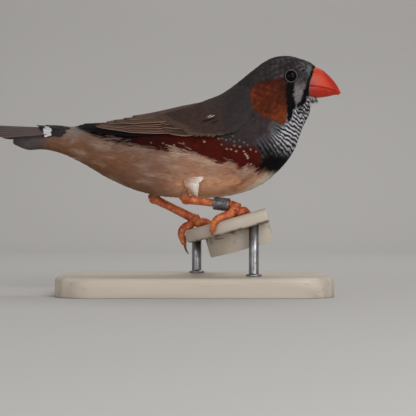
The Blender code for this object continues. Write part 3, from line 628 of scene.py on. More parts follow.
def skin():
    """The plumage's rings drawn in by the coat's depth along their normals, less where the
    body is slim, and closed at both ends."""
    rows = np.linspace(0, len(body.table) - 1, 241)
    row, column = np.meshgrid(rows, np.arange(0, COLUMNS, 3), indexing="ij")
    depth = COAT_DEPTH * np.clip(BODY_SECTIONS[:, 4] / 3.0, 0.3, 1.0)
    inset = np.interp(rows / ROWS_PER_SECTION, np.arange(len(depth)), depth)[:, None]
    points = body.at(row, column, -inset + np.zeros(row.shape))[0].reshape(-1, 3)
    mesh = new_mesh("skin", points, closed_faces(*row.shape))
    mark(mesh, points, 0.55)
    place = np.stack([column / COLUMNS, row / rows[-1]], axis=-1).reshape(-1, 2)
    set_map(mesh, "OFBake", place)
    set_map(mesh, "Barbs", place * (60.0, 100.0))
    return wear(mesh, plumage_material, "plumage", "head", "neck", "torso", "rump")


skin()


# Body feathers
# The small feathers that cover the body, each a soft vane whose barbs come apart at the
# tip. They overlap like tiles from the bill to the tail, each row over the next roots.
EYE = (29.5, 67.1)
EYE_OPENING = 1.93
# The share of a bake map that a coat's feathers fill, and the size of one feather's patch.
MAP_SPAN = 0.996
PATCH_SIZE = 0.003


def comb(prongs, split):
    """One small feather as a closed mesh: a narrow root, a raised middle, and a far edge
    that splits into tapered prongs. Gives the places along it from 0 to 1, across it from
    -1 to 1, their levels and the faces, which all turn outwards."""
    edge = np.linspace(-1, 1, prongs + 1)
    centre = (edge[:-1] + edge[1:]) / 2
    along = np.concatenate([[0, 0], [0.45 * split] * 3, [split] * (2 * len(edge)), 1 - 0.2 * centre ** 2])
    across = np.concatenate([[-0.35, 0.35], [-0.85, 0, 0.85], edge, edge, 0.92 * centre])
    level = np.concatenate([[0, 0], [0, 1, 0], 1 - edge ** 2, np.full(len(edge), -0.7), np.full(prongs, 0.1)])
    top, low, tip = 5, 5 + len(edge), 5 + 2 * len(edge)
    faces = [(0, 3, 2), (0, 1, 3), (1, 4, 3), (0, 2, 4), (0, 4, 1)]
    over = [2 if c < -0.5 else 4 if c > 0.5 else 3 for c in centre]
    under = [2 if c <= 0 else 4 for c in centre]
    for i in range(prongs):
        faces += [(over[i], top + i + 1, top + i), (under[i], low + i, low + i + 1)]
        faces += [(top + i, top + i + 1, tip + i), (low + i + 1, low + i, tip + i)]
        faces += [(top + i, tip + i, low + i), (tip + i, top + i + 1, low + i + 1)]
        if i and over[i] != over[i - 1]:
            faces.append((over[i - 1], over[i], top + i))
        if i and under[i] != under[i - 1]:
            faces.append((under[i - 1], low + i, under[i]))
    faces += [(2, top, low), (4, low + prongs, top + prongs)]
    return along, across, level, np.array(faces)


def scatter(surface, first, last, spacing, draw):
    """Roots in staggered rows between two rows of a surface, as far apart as the spacing
    in millimetres that is given for each of its rows."""
    rows, columns = np.arange(len(surface.table)), surface.table.shape[1]
    down, across = surface.table[:, :, 6].mean(axis=1), surface.table[:, :, 7].sum(axis=1)
    spacing = np.broadcast_to(spacing, rows.shape)
    count = np.concatenate([[0], np.cumsum(down[:-1] / spacing[:-1])])
    lines = np.interp(np.arange(np.interp(first, rows, count), np.interp(last, rows, count)), count, rows)
    found = []
    for k, line in enumerate(lines):
        n = max(6, round(np.interp(line, rows, across) / np.interp(line, rows, spacing)))
        column = (np.arange(n) + 0.5 * (k % 2) + draw.uniform(-0.28, 0.28, n)) * columns / n
        shift = draw.uniform(-0.3, 0.3, n) * np.interp(line, rows, spacing / down)
        found.append(np.stack([line + shift, column], axis=1))
    found = np.concatenate(found)
    return found[(found[:, 0] >= first) & (found[:, 0] < last)]


def clear_of_eye(points, root):
    """Draws the points of a feather back towards its root where it would reach over the
    lids: the line from the root meets the circle round the opening at a share of its way,
    the smaller answer of the quadratic for the distance from the eye's middle."""
    way, start = (points - root)[..., [0, 2]], (root[..., [0, 2]] - EYE) + 0 * points[..., [0, 2]]
    a = np.maximum((way ** 2).sum(axis=-1), 1e-9)
    b, c = (way * start).sum(axis=-1), (start ** 2).sum(axis=-1) - EYE_OPENING ** 2
    met = b ** 2 - a * c
    share = (-b - np.sqrt(np.maximum(met, 0))) / a
    short = (met > 0) & (share > 0) & (share < 1) & (np.abs(points[..., 1]) > 3)
    return root + (points - root) * np.where(short, share, 1.0)[..., None]


def lay(surface, root, length, width, form, draw, lift=-0.35, rise=0.13, thick=0.05, turn=0.0, bend=0.0):
    """Points of many feathers on a surface. A feather runs down the rows from its root,
    turned by its heading, and its height grows with the way along it."""
    along, across, level, _ = form
    tips = along > 0.75
    ragged = draw.normal(0, 0.05, (len(root), len(along))) * tips
    run = (along + ragged) * length[:, None]
    bent = bend * (along ** 2) * length[:, None]
    side = (across + 2 * ragged) * width[:, None] / 2 + bent
    turn = turn + draw.normal(0, 0.09, len(root))
    cos, sin = np.cos(turn)[:, None], np.sin(turn)[:, None]
    down, aside = run * cos - side * sin, run * sin + side * cos
    start = surface.read(root[:, 0], root[:, 1])
    middle = surface.read(root[:, 0] + 0.5 * length / start[:, 6], root[:, 1])
    row = root[:, 0, None] + down / middle[:, 6, None]
    column = root[:, 1, None] + aside / middle[:, 7, None]
    curve = 0.12 * width[:, None] * across ** 2
    height = np.broadcast_to(lift, len(root))[:, None] + rise * run + level * thick - curve
    height = height + draw.uniform(0, 0.04, len(root))[:, None]
    return surface.at(row, column, height)


def feather_faces(form, count):
    """The faces of one feather repeated for each of them."""
    per = len(form[0])
    return (form[3][None] + per * np.arange(count)[:, None, None]).reshape(-1, 3)


def feather_maps(mesh, form, length, width, patch, draw):
    """The barbs' map in millimetres, and OFBake, with a small patch for each feather."""
    along, across = form[0], form[1]
    start = draw.uniform(0, 60, (len(length), 2))
    x = across * width[:, None] / 2 + start[:, :1]
    y = along * length[:, None] + start[:, 1:]
    set_map(mesh, "Barbs", np.stack([x, y], axis=-1).reshape(-1, 2))
    own = np.stack(np.broadcast_arrays(PATCH_SIZE * (across + 1) / 2, PATCH_SIZE * along), axis=-1)
    set_map(mesh, "OFBake", (patch[:, None] + own).reshape(-1, 2))


def feather_piece(name, form, points, normals, shade, patch, size, draw, colour=None, seen=None, side=1):
    """One piece of many feathers, with the surface's normals. They take the markings at
    their points or where they are seen, or colours of their own. Side -1 mirrors them."""
    faces = feather_faces(form, len(points))
    mesh = new_mesh(name, points * (1, side, 1), [faces if side > 0 else faces[:, ::-1]])
    flat = points.reshape(-1, 3)
    own_colour = None if colour is None else colour.reshape(-1, 3)
    mark(mesh, flat if seen is None else seen.reshape(-1, 3), shade.ravel(), own_colour, bars_from=flat)
    feather_maps(mesh, form, *size, patch, draw)
    mesh.normals_split_custom_set_from_vertices((normals * (1, side, 1)).reshape(-1, 3))
    return wear(mesh, plumage_material, "plumage")


def body_feathers(name, first, last, spacing, length, width, prongs, split, seed, contrast, stray, **lying):
    """One piece of the coat between two sections of the body. Lengths and widths are
    given for each section, and a feather takes what holds at its root. Each is darkest at
    its root and palest at its tip by the contrast, and differs a little from the next. The
    mark on it is read off its place by a stray, which frays the edges between colours."""
    draw = np.random.default_rng(seed)
    sections = np.arange(SECTION_END * ROWS_PER_SECTION + 1) / ROWS_PER_SECTION
    gap = np.interp(sections, *np.array(spacing).T)
    root = scatter(body, first * ROWS_PER_SECTION, last * ROWS_PER_SECTION, gap, draw)
    base = body.at(root[:, 0], root[:, 1], 0.0)[0]
    clear = (np.hypot(base[:, 0] - EYE[0], base[:, 2] - EYE[1]) > EYE_OPENING) | (np.abs(base[:, 1]) < 3)
    root, base = root[clear], base[clear, None]
    place = root[:, 0] / ROWS_PER_SECTION
    long = np.interp(place, *np.array(length).T) * draw.uniform(0.85, 1.12, len(root))
    wide = np.interp(place, *np.array(width).T) * draw.uniform(0.85, 1.15, len(root))
    form = comb(prongs, split)
    points, normals = lay(body, root, long, wide, form, draw, **lying)
    points = clear_of_eye(points, base)
    seen = 0.75 * points + 0.25 * base
    seen = seen + draw.normal(0, stray, (len(root), 1, 3))
    shade = (1 - 0.7 * contrast + contrast * form[0]) * draw.normal(1.0, 0.35 * contrast, (len(root), 1))
    patch = np.stack([root[:, 1] / COLUMNS % 1, (place - first) / (last - first)], axis=1) * MAP_SPAN
    feather_piece(name, form, points, normals, np.clip(shade, 0.2, 2), patch, (long, wide), draw, seen=seen)


def seat(x, z, side):
    """The row and column of the body's surface nearest to each x and z, on one side."""
    table = body.table
    flank = table[..., 1] * side > 0
    found = []
    for place in np.stack(np.broadcast_arrays(x, z), axis=-1):
        far = np.where(flank, np.hypot(table[..., 0] - place[0], table[..., 2] - place[1]), 1e9)
        found.append(np.unravel_index(far.argmin(), far.shape))
    return np.array(found, float)


def loose_feathers(name, places, length, width, colour, prongs, split, seed, turn=0.0, sides=(-1, 1),
                   fade=(-1, 0), **lying):
    """Single feathers laid over the coat on both sides, at x and z as seen from the side.
    A heading turned up or down is given as it is for the left side. Over the shares of
    their length in the fade they pass from the coat's markings to their own colour."""
    draw = np.random.default_rng(seed)
    places = np.asarray(places, float)
    count = len(places)
    root = np.concatenate([seat(*(places + draw.normal(0, 0.2, places.shape) * (side > 0)).T, side)
                           for side in sides])
    way = np.repeat(sides, count)
    tiled = [np.tile(np.broadcast_to(value, count), len(sides)) for value in (length, width, turn)]
    long, wide = [value * draw.uniform(0.85, 1.15, len(root)) for value in tiled[:2]]
    form = comb(prongs, split)
    points, normals = lay(body, root, long, wide, form, draw, turn=tiled[2] * way, **lying)
    tone = np.tile(np.broadcast_to(colour, (count, 3)), (len(sides), 1))
    own_share = np.broadcast_to(ease(form[0], *fade), points.shape[:2])
    tone = blend(markings(points)[0], tone[:, None], own_share)
    shade = draw.normal(1.0, 0.08, (len(root), 1)) * (0.9 + 0.12 * form[0])
    patch = root[:, ::-1] / (COLUMNS, len(body.table)) * MAP_SPAN
    feather_piece(name, form, points, normals, shade, patch, (long, wide), draw, tone)


def wisps(name, start, end, bow, width, facing, colour, prongs, split, seed, thick=0.05):
    """Feathers that stand free: each runs from its start to its end with a bow to one
    side, turned so that its broad face looks the given way."""
    draw = np.random.default_rng(seed)
    form = comb(prongs, split)
    along, across, level = form[0][None, :, None], form[1][None, :, None], form[2][None, :, None]
    run = end - start
    facing = unit(np.broadcast_to(facing, start.shape))
    aside = unit(np.cross(facing, run))[:, None]
    width = width * draw.uniform(0.8, 1.2, (len(start), 1, 1))
    ragged = draw.normal(0, 0.06, (len(start), len(form[0]), 1)) * (along > 0.75)
    points = start[:, None] + run[:, None] * (along + ragged) + bow * np.sin(math.pi * along)
    points = points - aside * (across + 2 * ragged) * width / 2 + facing[:, None] * level * thick
    shade = draw.normal(1.0, 0.08, (len(start), 1)) * (0.9 + 0.12 * form[0])
    tone = np.broadcast_to(np.broadcast_to(colour, start.shape)[:, None], points.shape)
    cells = math.ceil(math.sqrt(len(start)))
    k = np.arange(len(start))
    patch = np.stack([k % cells, k // cells], axis=1) / cells * 0.99
    normals = np.broadcast_to(facing[:, None], points.shape)
    feather_piece(name, form, points, normals, shade, patch, (np.linalg.norm(run, axis=1), width[:, 0, 0]),
                  draw, tone)


body_feathers("plumage_face", 0.02, 1.6, [(0, 0.36), (1.6, 0.42)], [(0, 0.75), (1.6, 1.35)],
              [(0, 0.42), (1.6, 0.62)], 3, 0.6, 11, 0.42, 0.1, lift=-0.1, rise=0.12)
body_feathers("plumage_head", 1.6, 5.7, [(1.6, 0.42), (5.7, 0.55)], [(1.6, 1.35), (5.7, 2.2)],
              [(1.6, 0.62), (5.7, 1.0)], 3, 0.55, 12, 0.42, 0.13, lift=-0.25, rise=0.14)
body_feathers("plumage_neck", 5.7, 8.6, [(5.7, 0.58), (8.6, 0.72)], [(5.7, 2.3), (8.6, 3.1)],
              [(5.7, 1.05), (8.6, 1.4)], 5, 0.55, 13, 0.36, 0.16)
for part, first, last, seed in (("plumage_breast", 8.6, 11.4, 14), ("plumage_torso", 11.4, 14.6, 16)):
    body_feathers(part, first, last, [(8.6, 0.75), (14.6, 0.9)], [(8.6, 3.4), (14.6, 4.4)],
                  [(8.6, 1.4), (14.6, 1.6)], 7, 0.5, seed, 0.18, 0.3)
body_feathers("plumage_rump", 14.6, SECTION_END - 0.1, [(14.6, 0.9), (SECTION_END, 0.7)],
              [(14.6, 4.4), (SECTION_END, 3.0)], [(14.6, 1.5), (SECTION_END, 0.9)], 7, 0.45, 15, 0.18, 0.35)


# Pale spots on the chestnut flank and fainter ones over it, each the tip of one feather.
SPOTS = np.array([
    (-13.2, 46.5), (-6.0, 45.9), (-3.5, 46.3), (2.8, 47.0), (9.5, 45.0), (10.9, 44.7), (12.4, 44.2),
    (13.7, 45.6), (14.8, 44.3), (15.2, 43.6), (15.6, 43.0), (16.0, 42.4), (16.8, 45.0),
    (18.3, 44.2), (17.1, 40.4), (8.2, 46.2), (12.0, 46.1), (-9.6, 46.6), (8.3, 48.0), (9.5, 47.6),
    (10.7, 47.9), (12.0, 47.3), (13.3, 47.6), (14.7, 47.0), (11.4, 48.7), (7.2, 48.2), (15.9, 46.3)])
SPOT_PALE = np.array([0.3, 0.5, 0.5, 0.6, 0.5, 0.6, 0.6, 0.5, 0.9, 1, 1, 0.9, 0.5, 0.5, 0.5, 0.3, 0.4, 0.3]
                     + [0.15, 0.3] * 4 + [0.2])
spot_tones = blend(paint(74, 64, 62), paint(198, 166, 150), SPOT_PALE)
loose_feathers("flank_spots", SPOTS + (0.7, 0.0), 1.15, 0.66, spot_tones, 5, 0.8, 71,
               turn=0.12, fade=(0.3, 0.6), lift=0.12, rise=0.1)


def stray_feathers():
    """Pale fine feathers at drawn places: under the flank's lower edge, over the belly
    and in front of the thigh, and up the side of the vent."""
    draw = np.random.default_rng(72)
    count = 300
    f = draw.uniform(0, 1, count)
    x = 19.0 - 36.0 * f
    z = np.interp(x, *FLANK_LOW.T) - draw.normal(1.3, 0.8, count) - 0.9 * ease(f, 0.5, 0.7)
    fluff = blend(BELLY_SIDE, BELLY_WHITE, draw.uniform(0, 0.5, count) * ease(x, -14, 2))
    loose_feathers("flank_wisps", np.stack([x, z], axis=1), 2.6, 0.34, fluff, 3, 0.15, 73,
                   turn=draw.normal(-0.25, 0.35, count), fade=(0.1, 0.6), lift=-0.05, rise=0.08)
    count, behind = 260, 200
    f = draw.uniform(0, 1, count)
    streak = np.stack([8.5 - 14.0 * f, 38.0 + 6.0 * f ** 0.8], axis=1) + draw.normal(0, 0.75, (count, 2))
    streak[behind:] = np.array((17.4, 39.0)) + draw.normal(0, 1.0, (count - behind, 2)) * (1.0, 0.55)
    heading = draw.normal(-0.5, 0.2, count)
    heading[behind:] += 0.6
    fluff = blend(BELLY, BELLY_WHITE, draw.uniform(0.1, 0.75, count))
    loose_feathers("belly_wisps", streak, 2.9, 0.34, fluff, 3, 0.15, 74, turn=heading, fade=(0.0, 0.5),
                   lift=0.0, rise=0.06)
    count = 320
    f = draw.uniform(0, 1, count)
    places = np.stack([-11.0 - 28.0 * f, 43.0 + 6.4 * f + draw.normal(0, 1.1, count)], axis=1)
    fluff = blend(VENT, VENT_PALE, draw.uniform(0.3, 1.1, count))
    loose_feathers("vent_wisps", places, 3.6, 0.7, fluff, 3, 0.2, 75,
                   turn=draw.normal(0.05, 0.25, count), fade=(0.0, 0.5), lift=-0.05, rise=0.06)


def chin_feathers():
    """Bristly feathers that stand out under the root of the lower bill and down the
    throat, each from a place on an arc across it."""
    draw = np.random.default_rng(76)
    count = 230
    f = draw.uniform(0, 1, count) ** 1.5
    turn = draw.uniform(-1.2, 1.2, count)
    ahead = np.stack([np.interp(f, (0, 0.2, 0.5, 1), (37.0, 35.9, 34.9, 34.4)), 0 * f,
                      np.interp(f, (0, 0.2, 0.5, 1), (61.0, 60.8, 59.2, 55.8))], axis=1)
    wide = np.interp(f, (0, 0.4, 1), (1.8, 3.2, 3.6))
    arc = np.stack([-2.3 * (1 - np.cos(turn)), wide * np.sin(turn), 0.7 - 0.7 * np.cos(turn)], axis=1)
    start = ahead + arc
    reach = draw.uniform(1.0, 2.2, count) * np.interp(f, (0, 0.5, 1), (1.0, 0.7, 0.45))
    out = draw.normal(0.6, 0.18, count)
    end = start + np.stack([reach * out * np.cos(turn), 0.5 * reach * np.sin(turn), -reach], axis=1)
    tones = np.where(draw.uniform(0, 1, (count, 1)) < 0.55, BLACK, paint(206, 194, 196))
    facing = np.stack([np.full(count, 1.0), np.sin(turn), np.zeros(count)], axis=1)
    wisps("chin_feathers", start, end, np.array((0.2, 0.0, 0.1)), 0.46, facing, tones, 3, 0.4, 77)


stray_feathers()
chin_feathers()


# Eyes
# A dark glossy ball in each side of the head. The round lids are bare grey skin with a
# beaded edge, and only the middle of the ball shows between them.
EYE_OUT = 4.45
EYE_RADIUS = 2.5
LID_RING = 1.81
LID_THICKNESS = 0.11
LID_BEADS = 26
BALL_RINGS, BALL_SIDES = 33, 48
LID_STEPS, LID_SIDES = 156, 10


def eye_material():
    """A near-black pupil in a dark brown iris, under a clear wet surface."""
    material, tree, shader = new_material("eye", 0.16, Specular_IOR_Level=0.09)
    where = object_place(tree)
    flat = node(tree, "ShaderNodeVectorMath", {0: where, 1: (EYE[0] * MM, 0, EYE[1] * MM)},
                operation="SUBTRACT").outputs["Vector"]
    flat = node(tree, "ShaderNodeVectorMath", {0: flat, 1: (1, 0, 1)}, operation="MULTIPLY").outputs["Vector"]
    away = node(tree, "ShaderNodeVectorMath", {0: flat}, operation="LENGTH").outputs["Value"]
    iris = smooth_between(tree, away, 1.05 * MM, 1.35 * MM)
    grain = noise_at(tree, where, 4000.0)
    brown = mixed(tree, grain, paint(12, 8, 9), paint(24, 15, 14))
    tint(tree, shader, mixed(tree, iris, paint(4, 4, 6), brown))
    return material


def lid_material():
    """Bare skin: grey, finely wrinkled and slightly moist."""
    material, tree, shader = new_material("lid", 0.5)
    where = object_place(tree)
    grain = noise_at(tree, where, 2500.0, 4.0)
    tint(tree, shader, mixed(tree, grain, paint(72, 70, 77), paint(112, 108, 116)))
    raise_surface(tree, shader, grain, 0.4, 0.00005)
    return material


def eye(side, name, ball_material, skin_material):
    """A ball of rings about the Y axis, and a ring of lids round its opening: a circle
    carried round a circle, thicker at each bead."""
    turn = np.linspace(0.02, math.pi - 0.02, BALL_RINGS)[:, None]
    around = side * np.linspace(0, 2 * math.pi, BALL_SIDES, endpoint=False)
    out = np.stack([np.sin(turn) * np.cos(around), side * np.cos(turn) + 0 * around,
                    -np.sin(turn) * np.sin(around) * side], axis=-1)
    if side > 0:
        out = out[:, ::-1]
    middle = np.array((EYE[0], side * EYE_OUT, EYE[1]))
    ball = new_mesh(name, middle + EYE_RADIUS * out, closed_faces(BALL_RINGS, BALL_SIDES))
    wear(ball, ball_material, "eye", name)
    a = np.linspace(0, 2 * math.pi, LID_STEPS, endpoint=False)[:, None]
    b = np.linspace(0, 2 * math.pi, LID_SIDES, endpoint=False)
    thick = LID_THICKNESS * (1 + 0.16 * np.cos(LID_BEADS * a))
    reach = LID_RING + thick * np.cos(b)
    rise = math.sqrt(EYE_RADIUS ** 2 - LID_RING ** 2) + 0.1 + 1.25 * thick * np.sin(b)
    ring = np.stack([EYE[0] + reach * np.cos(a), side * (EYE_OUT + rise), EYE[1] + reach * np.sin(a)],
                    axis=-1)
    faces = grid_faces(len(a), len(b), closed=True, closed_rows=True)
    if side > 0:
        faces = faces[:, ::-1]
    wear(new_mesh(name.replace("eye", "lids"), ring, [faces]), skin_material, "plumage")


wet_eye, bare_lid = eye_material(), lid_material()
for side, name in ((-1, "eye_right"), (1, "eye_left")):
    eye(side, name, wet_eye, bare_lid)


# Bill
# Horn over bone in two halves, worn smooth and waxy. The ridge, mouth line and keel are
# the part's own, and both halves run on a little under the feathers of the face.
UPPER_BILL = np.array([
    (37.0, 70.6, 34.9, 64.25, 4.05),
    (39.4, 69.5, 38.8, 63.95, 3.3),
    (41.9, 67.3, 41.6, 63.5, 2.3),
    (43.9, 64.8, 43.7, 62.8, 1.2),
    (45.2, 62.5, 44.9, 61.9, 0.25),
])
LOWER_BILL = np.array([
    (34.6, 64.05, 33.9, 60.7, 4.15),
    (38.2, 64.0, 37.6, 60.75, 3.25),
    (41.5, 63.5, 41.1, 61.2, 2.1),
    (43.4, 62.86, 43.15, 61.7, 1.08),
    (44.7, 62.1, 44.6, 61.7, 0.22),
])
BILL_TUCK = 1.3
LOWER_BASE_SHIFT = 1.4
BILL_RINGS = 61
DOME_POINTS = 33
NOSTRIL = (37.9, 1.9, 69.0)
NOSTRIL_SIZE = 0.42
BILL_RED = paint(176, 40, 32)
BILL_CRIMSON = paint(180, 32, 38)
BILL_ORANGE = paint(218, 72, 36)
BILL_LOWER = paint(174, 28, 8)
BILL_BASE = paint(150, 70, 62)


def bill_half(name, table, upper):
    """Rings from the base to the tip: a dome from the mouth line up to the ridge, or down
    to the keel, whose height falls with the cosine across it, and a slightly hollow
    underside."""
    rows = np.linspace(0, len(table) - 1, BILL_RINGS)
    x0, z0, x1, z1, width = smooth_rows(table, rows).T
    dome, mouth = ((x0, z0), (x1, z1)) if upper else ((x1, z1), (x0, z0))
    turn = np.linspace(-math.pi / 2, math.pi / 2, DOME_POINTS)
    rise = np.cos(turn) ** 0.92
    y = width[:, None] * np.sin(turn)
    x = mouth[0][:, None] + (dome[0] - mouth[0])[:, None] * rise
    z = mouth[1][:, None] + (dome[1] - mouth[1])[:, None] * rise
    inner = np.linspace(1, -1, 11)[1:-1]
    hollow = 0.3 * (1 - inner ** 2) * np.minimum(width, 1)[:, None]
    y = np.concatenate([y, width[:, None] * inner], axis=1)
    x = np.concatenate([x, mouth[0][:, None] + 0 * hollow], axis=1)
    z = np.concatenate([z, mouth[1][:, None] + hollow], axis=1)
    points = np.stack([x, y, z], axis=-1)
    if not upper:
        points = points[:, ::-1]
    back = unit(points[0].mean(axis=0) - points[4].mean(axis=0)) * BILL_TUCK
    middle = points[0].mean(axis=0)
    tucked = middle + (points[0] - middle) * 0.94 + back
    points = np.concatenate([tucked[None], points])
    shade = np.ones(points.shape[:2])
    # The nostrils are sunk into the upper half and painted darker inside as painted shade.
    if upper:
        for side in (-1, 1):
            hole = np.linalg.norm(points - (NOSTRIL[0], side * NOSTRIL[1], NOSTRIL[2]), axis=-1)
            sunk = ease(hole, NOSTRIL_SIZE, 0.15 * NOSTRIL_SIZE)
            points[..., 1] -= side * 0.35 * sunk
            points[..., 2] -= 0.35 * sunk
            shade -= 0.85 * ease(hole, NOSTRIL_SIZE * 1.1, NOSTRIL_SIZE * 0.5)
    flat = points.reshape(-1, 3)
    mesh = new_mesh(name, flat, closed_faces(*points.shape[:2]))
    along = flat[:, 0]
    colour = blend(BILL_RED if upper else BILL_LOWER, BILL_CRIMSON if upper else BILL_LOWER,
                   ease(np.abs(along - 41.2 + 0.5 * (flat[:, 2] - 66)), 1.4, 0.2))
    # Painted highlight: the low part of the upper half near its base is painted orange, where the light
    # falls.
    colour = blend(colour, BILL_ORANGE, 0.8 * ease(along + 0.6 * flat[:, 2], 81.5, 79.6) * upper)
    colour = blend(colour, BILL_ORANGE, 0.6 * ease(along, 43.4, 45.0))
    grown = np.sin(2.6 * flat[:, 2] + 1.2 * ripple(flat * (0.3, 1, 1), 1.6, 20)) * ease(along, 40.5, 37.0)
    colour = blend(colour, BILL_BASE, 0.35 * ease(grown, 0.1, 0.9))
    shift = 0.0 if upper else LOWER_BASE_SHIFT
    colour = blend(colour, BILL_BASE, ease(along + 0.25 * (flat[:, 2] - 65), 37.4 - shift, 35.6 - shift))
    set_field(mesh, "horn", colour * shade.reshape(-1, 1))
    return wear(mesh, bill_material, "bill", name)


def horn_material():
    """Horn: fine growth lines along the bill, a little light from within, and a wax gloss."""
    material, tree, shader = new_material(
        "bill", 0.4, Subsurface_Weight=0.12, Subsurface_Scale=0.0008, Coat_Weight=0.05, Coat_Roughness=0.25,
        Specular_IOR_Level=0.3)
    shader.inputs["Subsurface Radius"].default_value = (1.0, 0.25, 0.12)
    colour = read_field(tree, "horn", "Color")
    where = object_place(tree)
    lines = stretched(tree, where, (350.0, 2600.0, 2600.0), (0, 0.75, 0))
    growth = noise_at(tree, lines, 1.0, 3.0)
    blotch = noise_at(tree, where, 700.0, 3.0)
    worn = mixed(tree, smooth_between(tree, growth, 0.3, 0.8), colour, mixed(tree, 0.35, colour, BILL_ORANGE))
    stained = mixed(tree, 0.25, worn, BILL_BASE)
    tint(tree, shader, mixed(tree, smooth_between(tree, blotch, 0.45, 0.8), worn, stained))
    raise_surface(tree, shader, growth, 0.25, 0.00008)
    return material


bill_material = horn_material()
bill_half("bill_upper", UPPER_BILL, upper=True)
bill_half("bill_lower", LOWER_BILL, upper=False)


# Wings
# Each folded wing is a fan of stiff flight feathers with rows of coverts over their roots.
# It lies on the flank, and a soft lobe of shoulder feathers closes it to the back.
WING_AXIS = np.array([
    (-50.0, 47.2), (-37.0, 47.4), (-19.0, 44.6), (-2.0, 45.3), (18.0, 52.4), (22.0, 54.5)])
WING_FRONT = 25.0
WING_STEP = 0.5
WING_TOP = -12.0
WING_TURN = 1.5
WING_ROWS, WING_COLUMNS = 130, 80
DEGREES_PER_MM = 4.8
SIDE_NAMES = {-1: "right", 1: "left"}
ACROSS = np.array([-1, -0.78, -0.45, -0.1, 0, 0.1, 0.45, 0.78, 1, 1, 0, -1])
ON_TOP = np.arange(len(ACROSS)) < 9


def wing_ground():
    """The left flank seen from the wing's axis: where a ray outwards from it meets the
    plumage at each x and angle. Rows run backwards and columns down the side."""
    points = body.table[::4, ::3, :3]
    faces = grid_faces(*points.shape[:2], closed=True).tolist()
    tree = BVHTree.FromPolygons(points.reshape(-1, 3).tolist(), faces)
    found = np.empty((WING_ROWS, WING_COLUMNS, 3))
    for i in range(WING_ROWS):
        x = WING_FRONT - WING_STEP * i
        middle = Vector((x, 0.0, np.interp(x, *WING_AXIS.T)))
        for j in range(WING_COLUMNS):
            turn = math.radians(WING_TOP + WING_TURN * j)
            out = Vector((0.0, math.sin(turn), math.cos(turn)))
            hit = tree.ray_cast(middle, out)[0]
            found[i, j] = hit if hit is not None else middle + 2.0 * out
    return found


wing_points = wing_ground()
wing_base = Surface(wing_points, wraps=False)


def wing_place(x, b, height):
    """A place over the left flank: x, the way down the side in millimetres, the height."""
    return wing_base.at((WING_FRONT - x) / WING_STEP, (b * DEGREES_PER_MM - WING_TOP) / WING_TURN, height)[0]


def vanes(place, root, tip, half_width, levels, tilt, bow, blunt, draw, rows=15, thick=0.12):
    """Stiff feathers as closed flat bodies of rings: nine points over the top, where the
    shaft stands up in the middle, and three below. Each tapers over its last part, given
    as its blunt share. Returns the points, and the places along and across in millimetres."""
    along = 1 - (1 - np.linspace(0, 1, rows)) ** 1.5
    run = tip - root
    length = np.linalg.norm(run, axis=1)
    side = np.stack([-run[:, 1], run[:, 0]], axis=1) / length[:, None]
    side *= np.sign(side[:, 1:])
    taper = np.clip((along - blunt) / (1 - blunt), 0, 1)
    share = (0.55 + 0.45 * ease(along, 0, 0.3)) * np.sqrt(1 - 0.985 * taper ** 2)
    width = half_width[:, None] * share * (1 + draw.normal(0, 0.025, (len(root), rows)))
    middle = root[:, None] + run[:, None] * along[:, None]
    middle = middle + side[:, None] * (bow[:, None] * np.sin(math.pi * along))[..., None]
    across = width[..., None] * ACROSS
    flat = middle[:, :, None] + side[:, None, None] * across[..., None]
    height = levels[:, :1] + (levels[:, 1:] - levels[:, :1]) * along
    height = height[..., None] + tilt * ACROSS - 0.1 * np.abs(across) * np.abs(ACROSS)
    height = height + ON_TOP * thick * (1 - 0.5 * ACROSS ** 2) + 0.06 * ON_TOP * (ACROSS == 0)
    return place(flat[..., 0], flat[..., 1], height), along, across, length


def vane_piece(name, points, along, across, length, colour, edged, draw, side=1):
    """One piece from a number of stiff feathers, which stands for the node of its name.
    Each feather has its own cell of the OFBake map."""
    count, rows = points.shape[:2]
    points = points * (1, side, 1)
    faces = closed_faces(rows, len(ACROSS), count)
    if side < 0:
        faces = [group[:, ::-1] for group in faces]
    mesh = new_mesh(name, points, faces)
    shape = points.shape[:3]
    set_field(mesh, "plumage", np.broadcast_to(colour, shape + (3,)).reshape(-1, 3))
    set_field(mesh, "across", np.broadcast_to(ACROSS, shape).ravel())
    set_field(mesh, "edged", np.broadcast_to(edged[:, None, None], shape).ravel())
    start = draw.uniform(0, 60, count)[:, None, None]
    way = along[None, :, None] * length[:, None, None]
    barb_places = np.stack(np.broadcast_arrays(across, way + start), axis=-1)
    set_map(mesh, "Barbs", barb_places.reshape(-1, 2))
    cells = math.ceil(math.sqrt(count))
    k = np.arange(count)[:, None, None]
    round_ring = np.linspace(0.03, 0.97, len(ACROSS))
    bake = np.stack(np.broadcast_arrays((k % cells + round_ring) / cells,
                                        (k // cells + 0.03 + 0.94 * along[:, None]) / cells), axis=-1)
    set_map(mesh, "OFBake", bake.reshape(-1, 2))
    return wear(mesh, vane_material, "flight_feather", name)


WING_EDGE = paint(158, 128, 108)


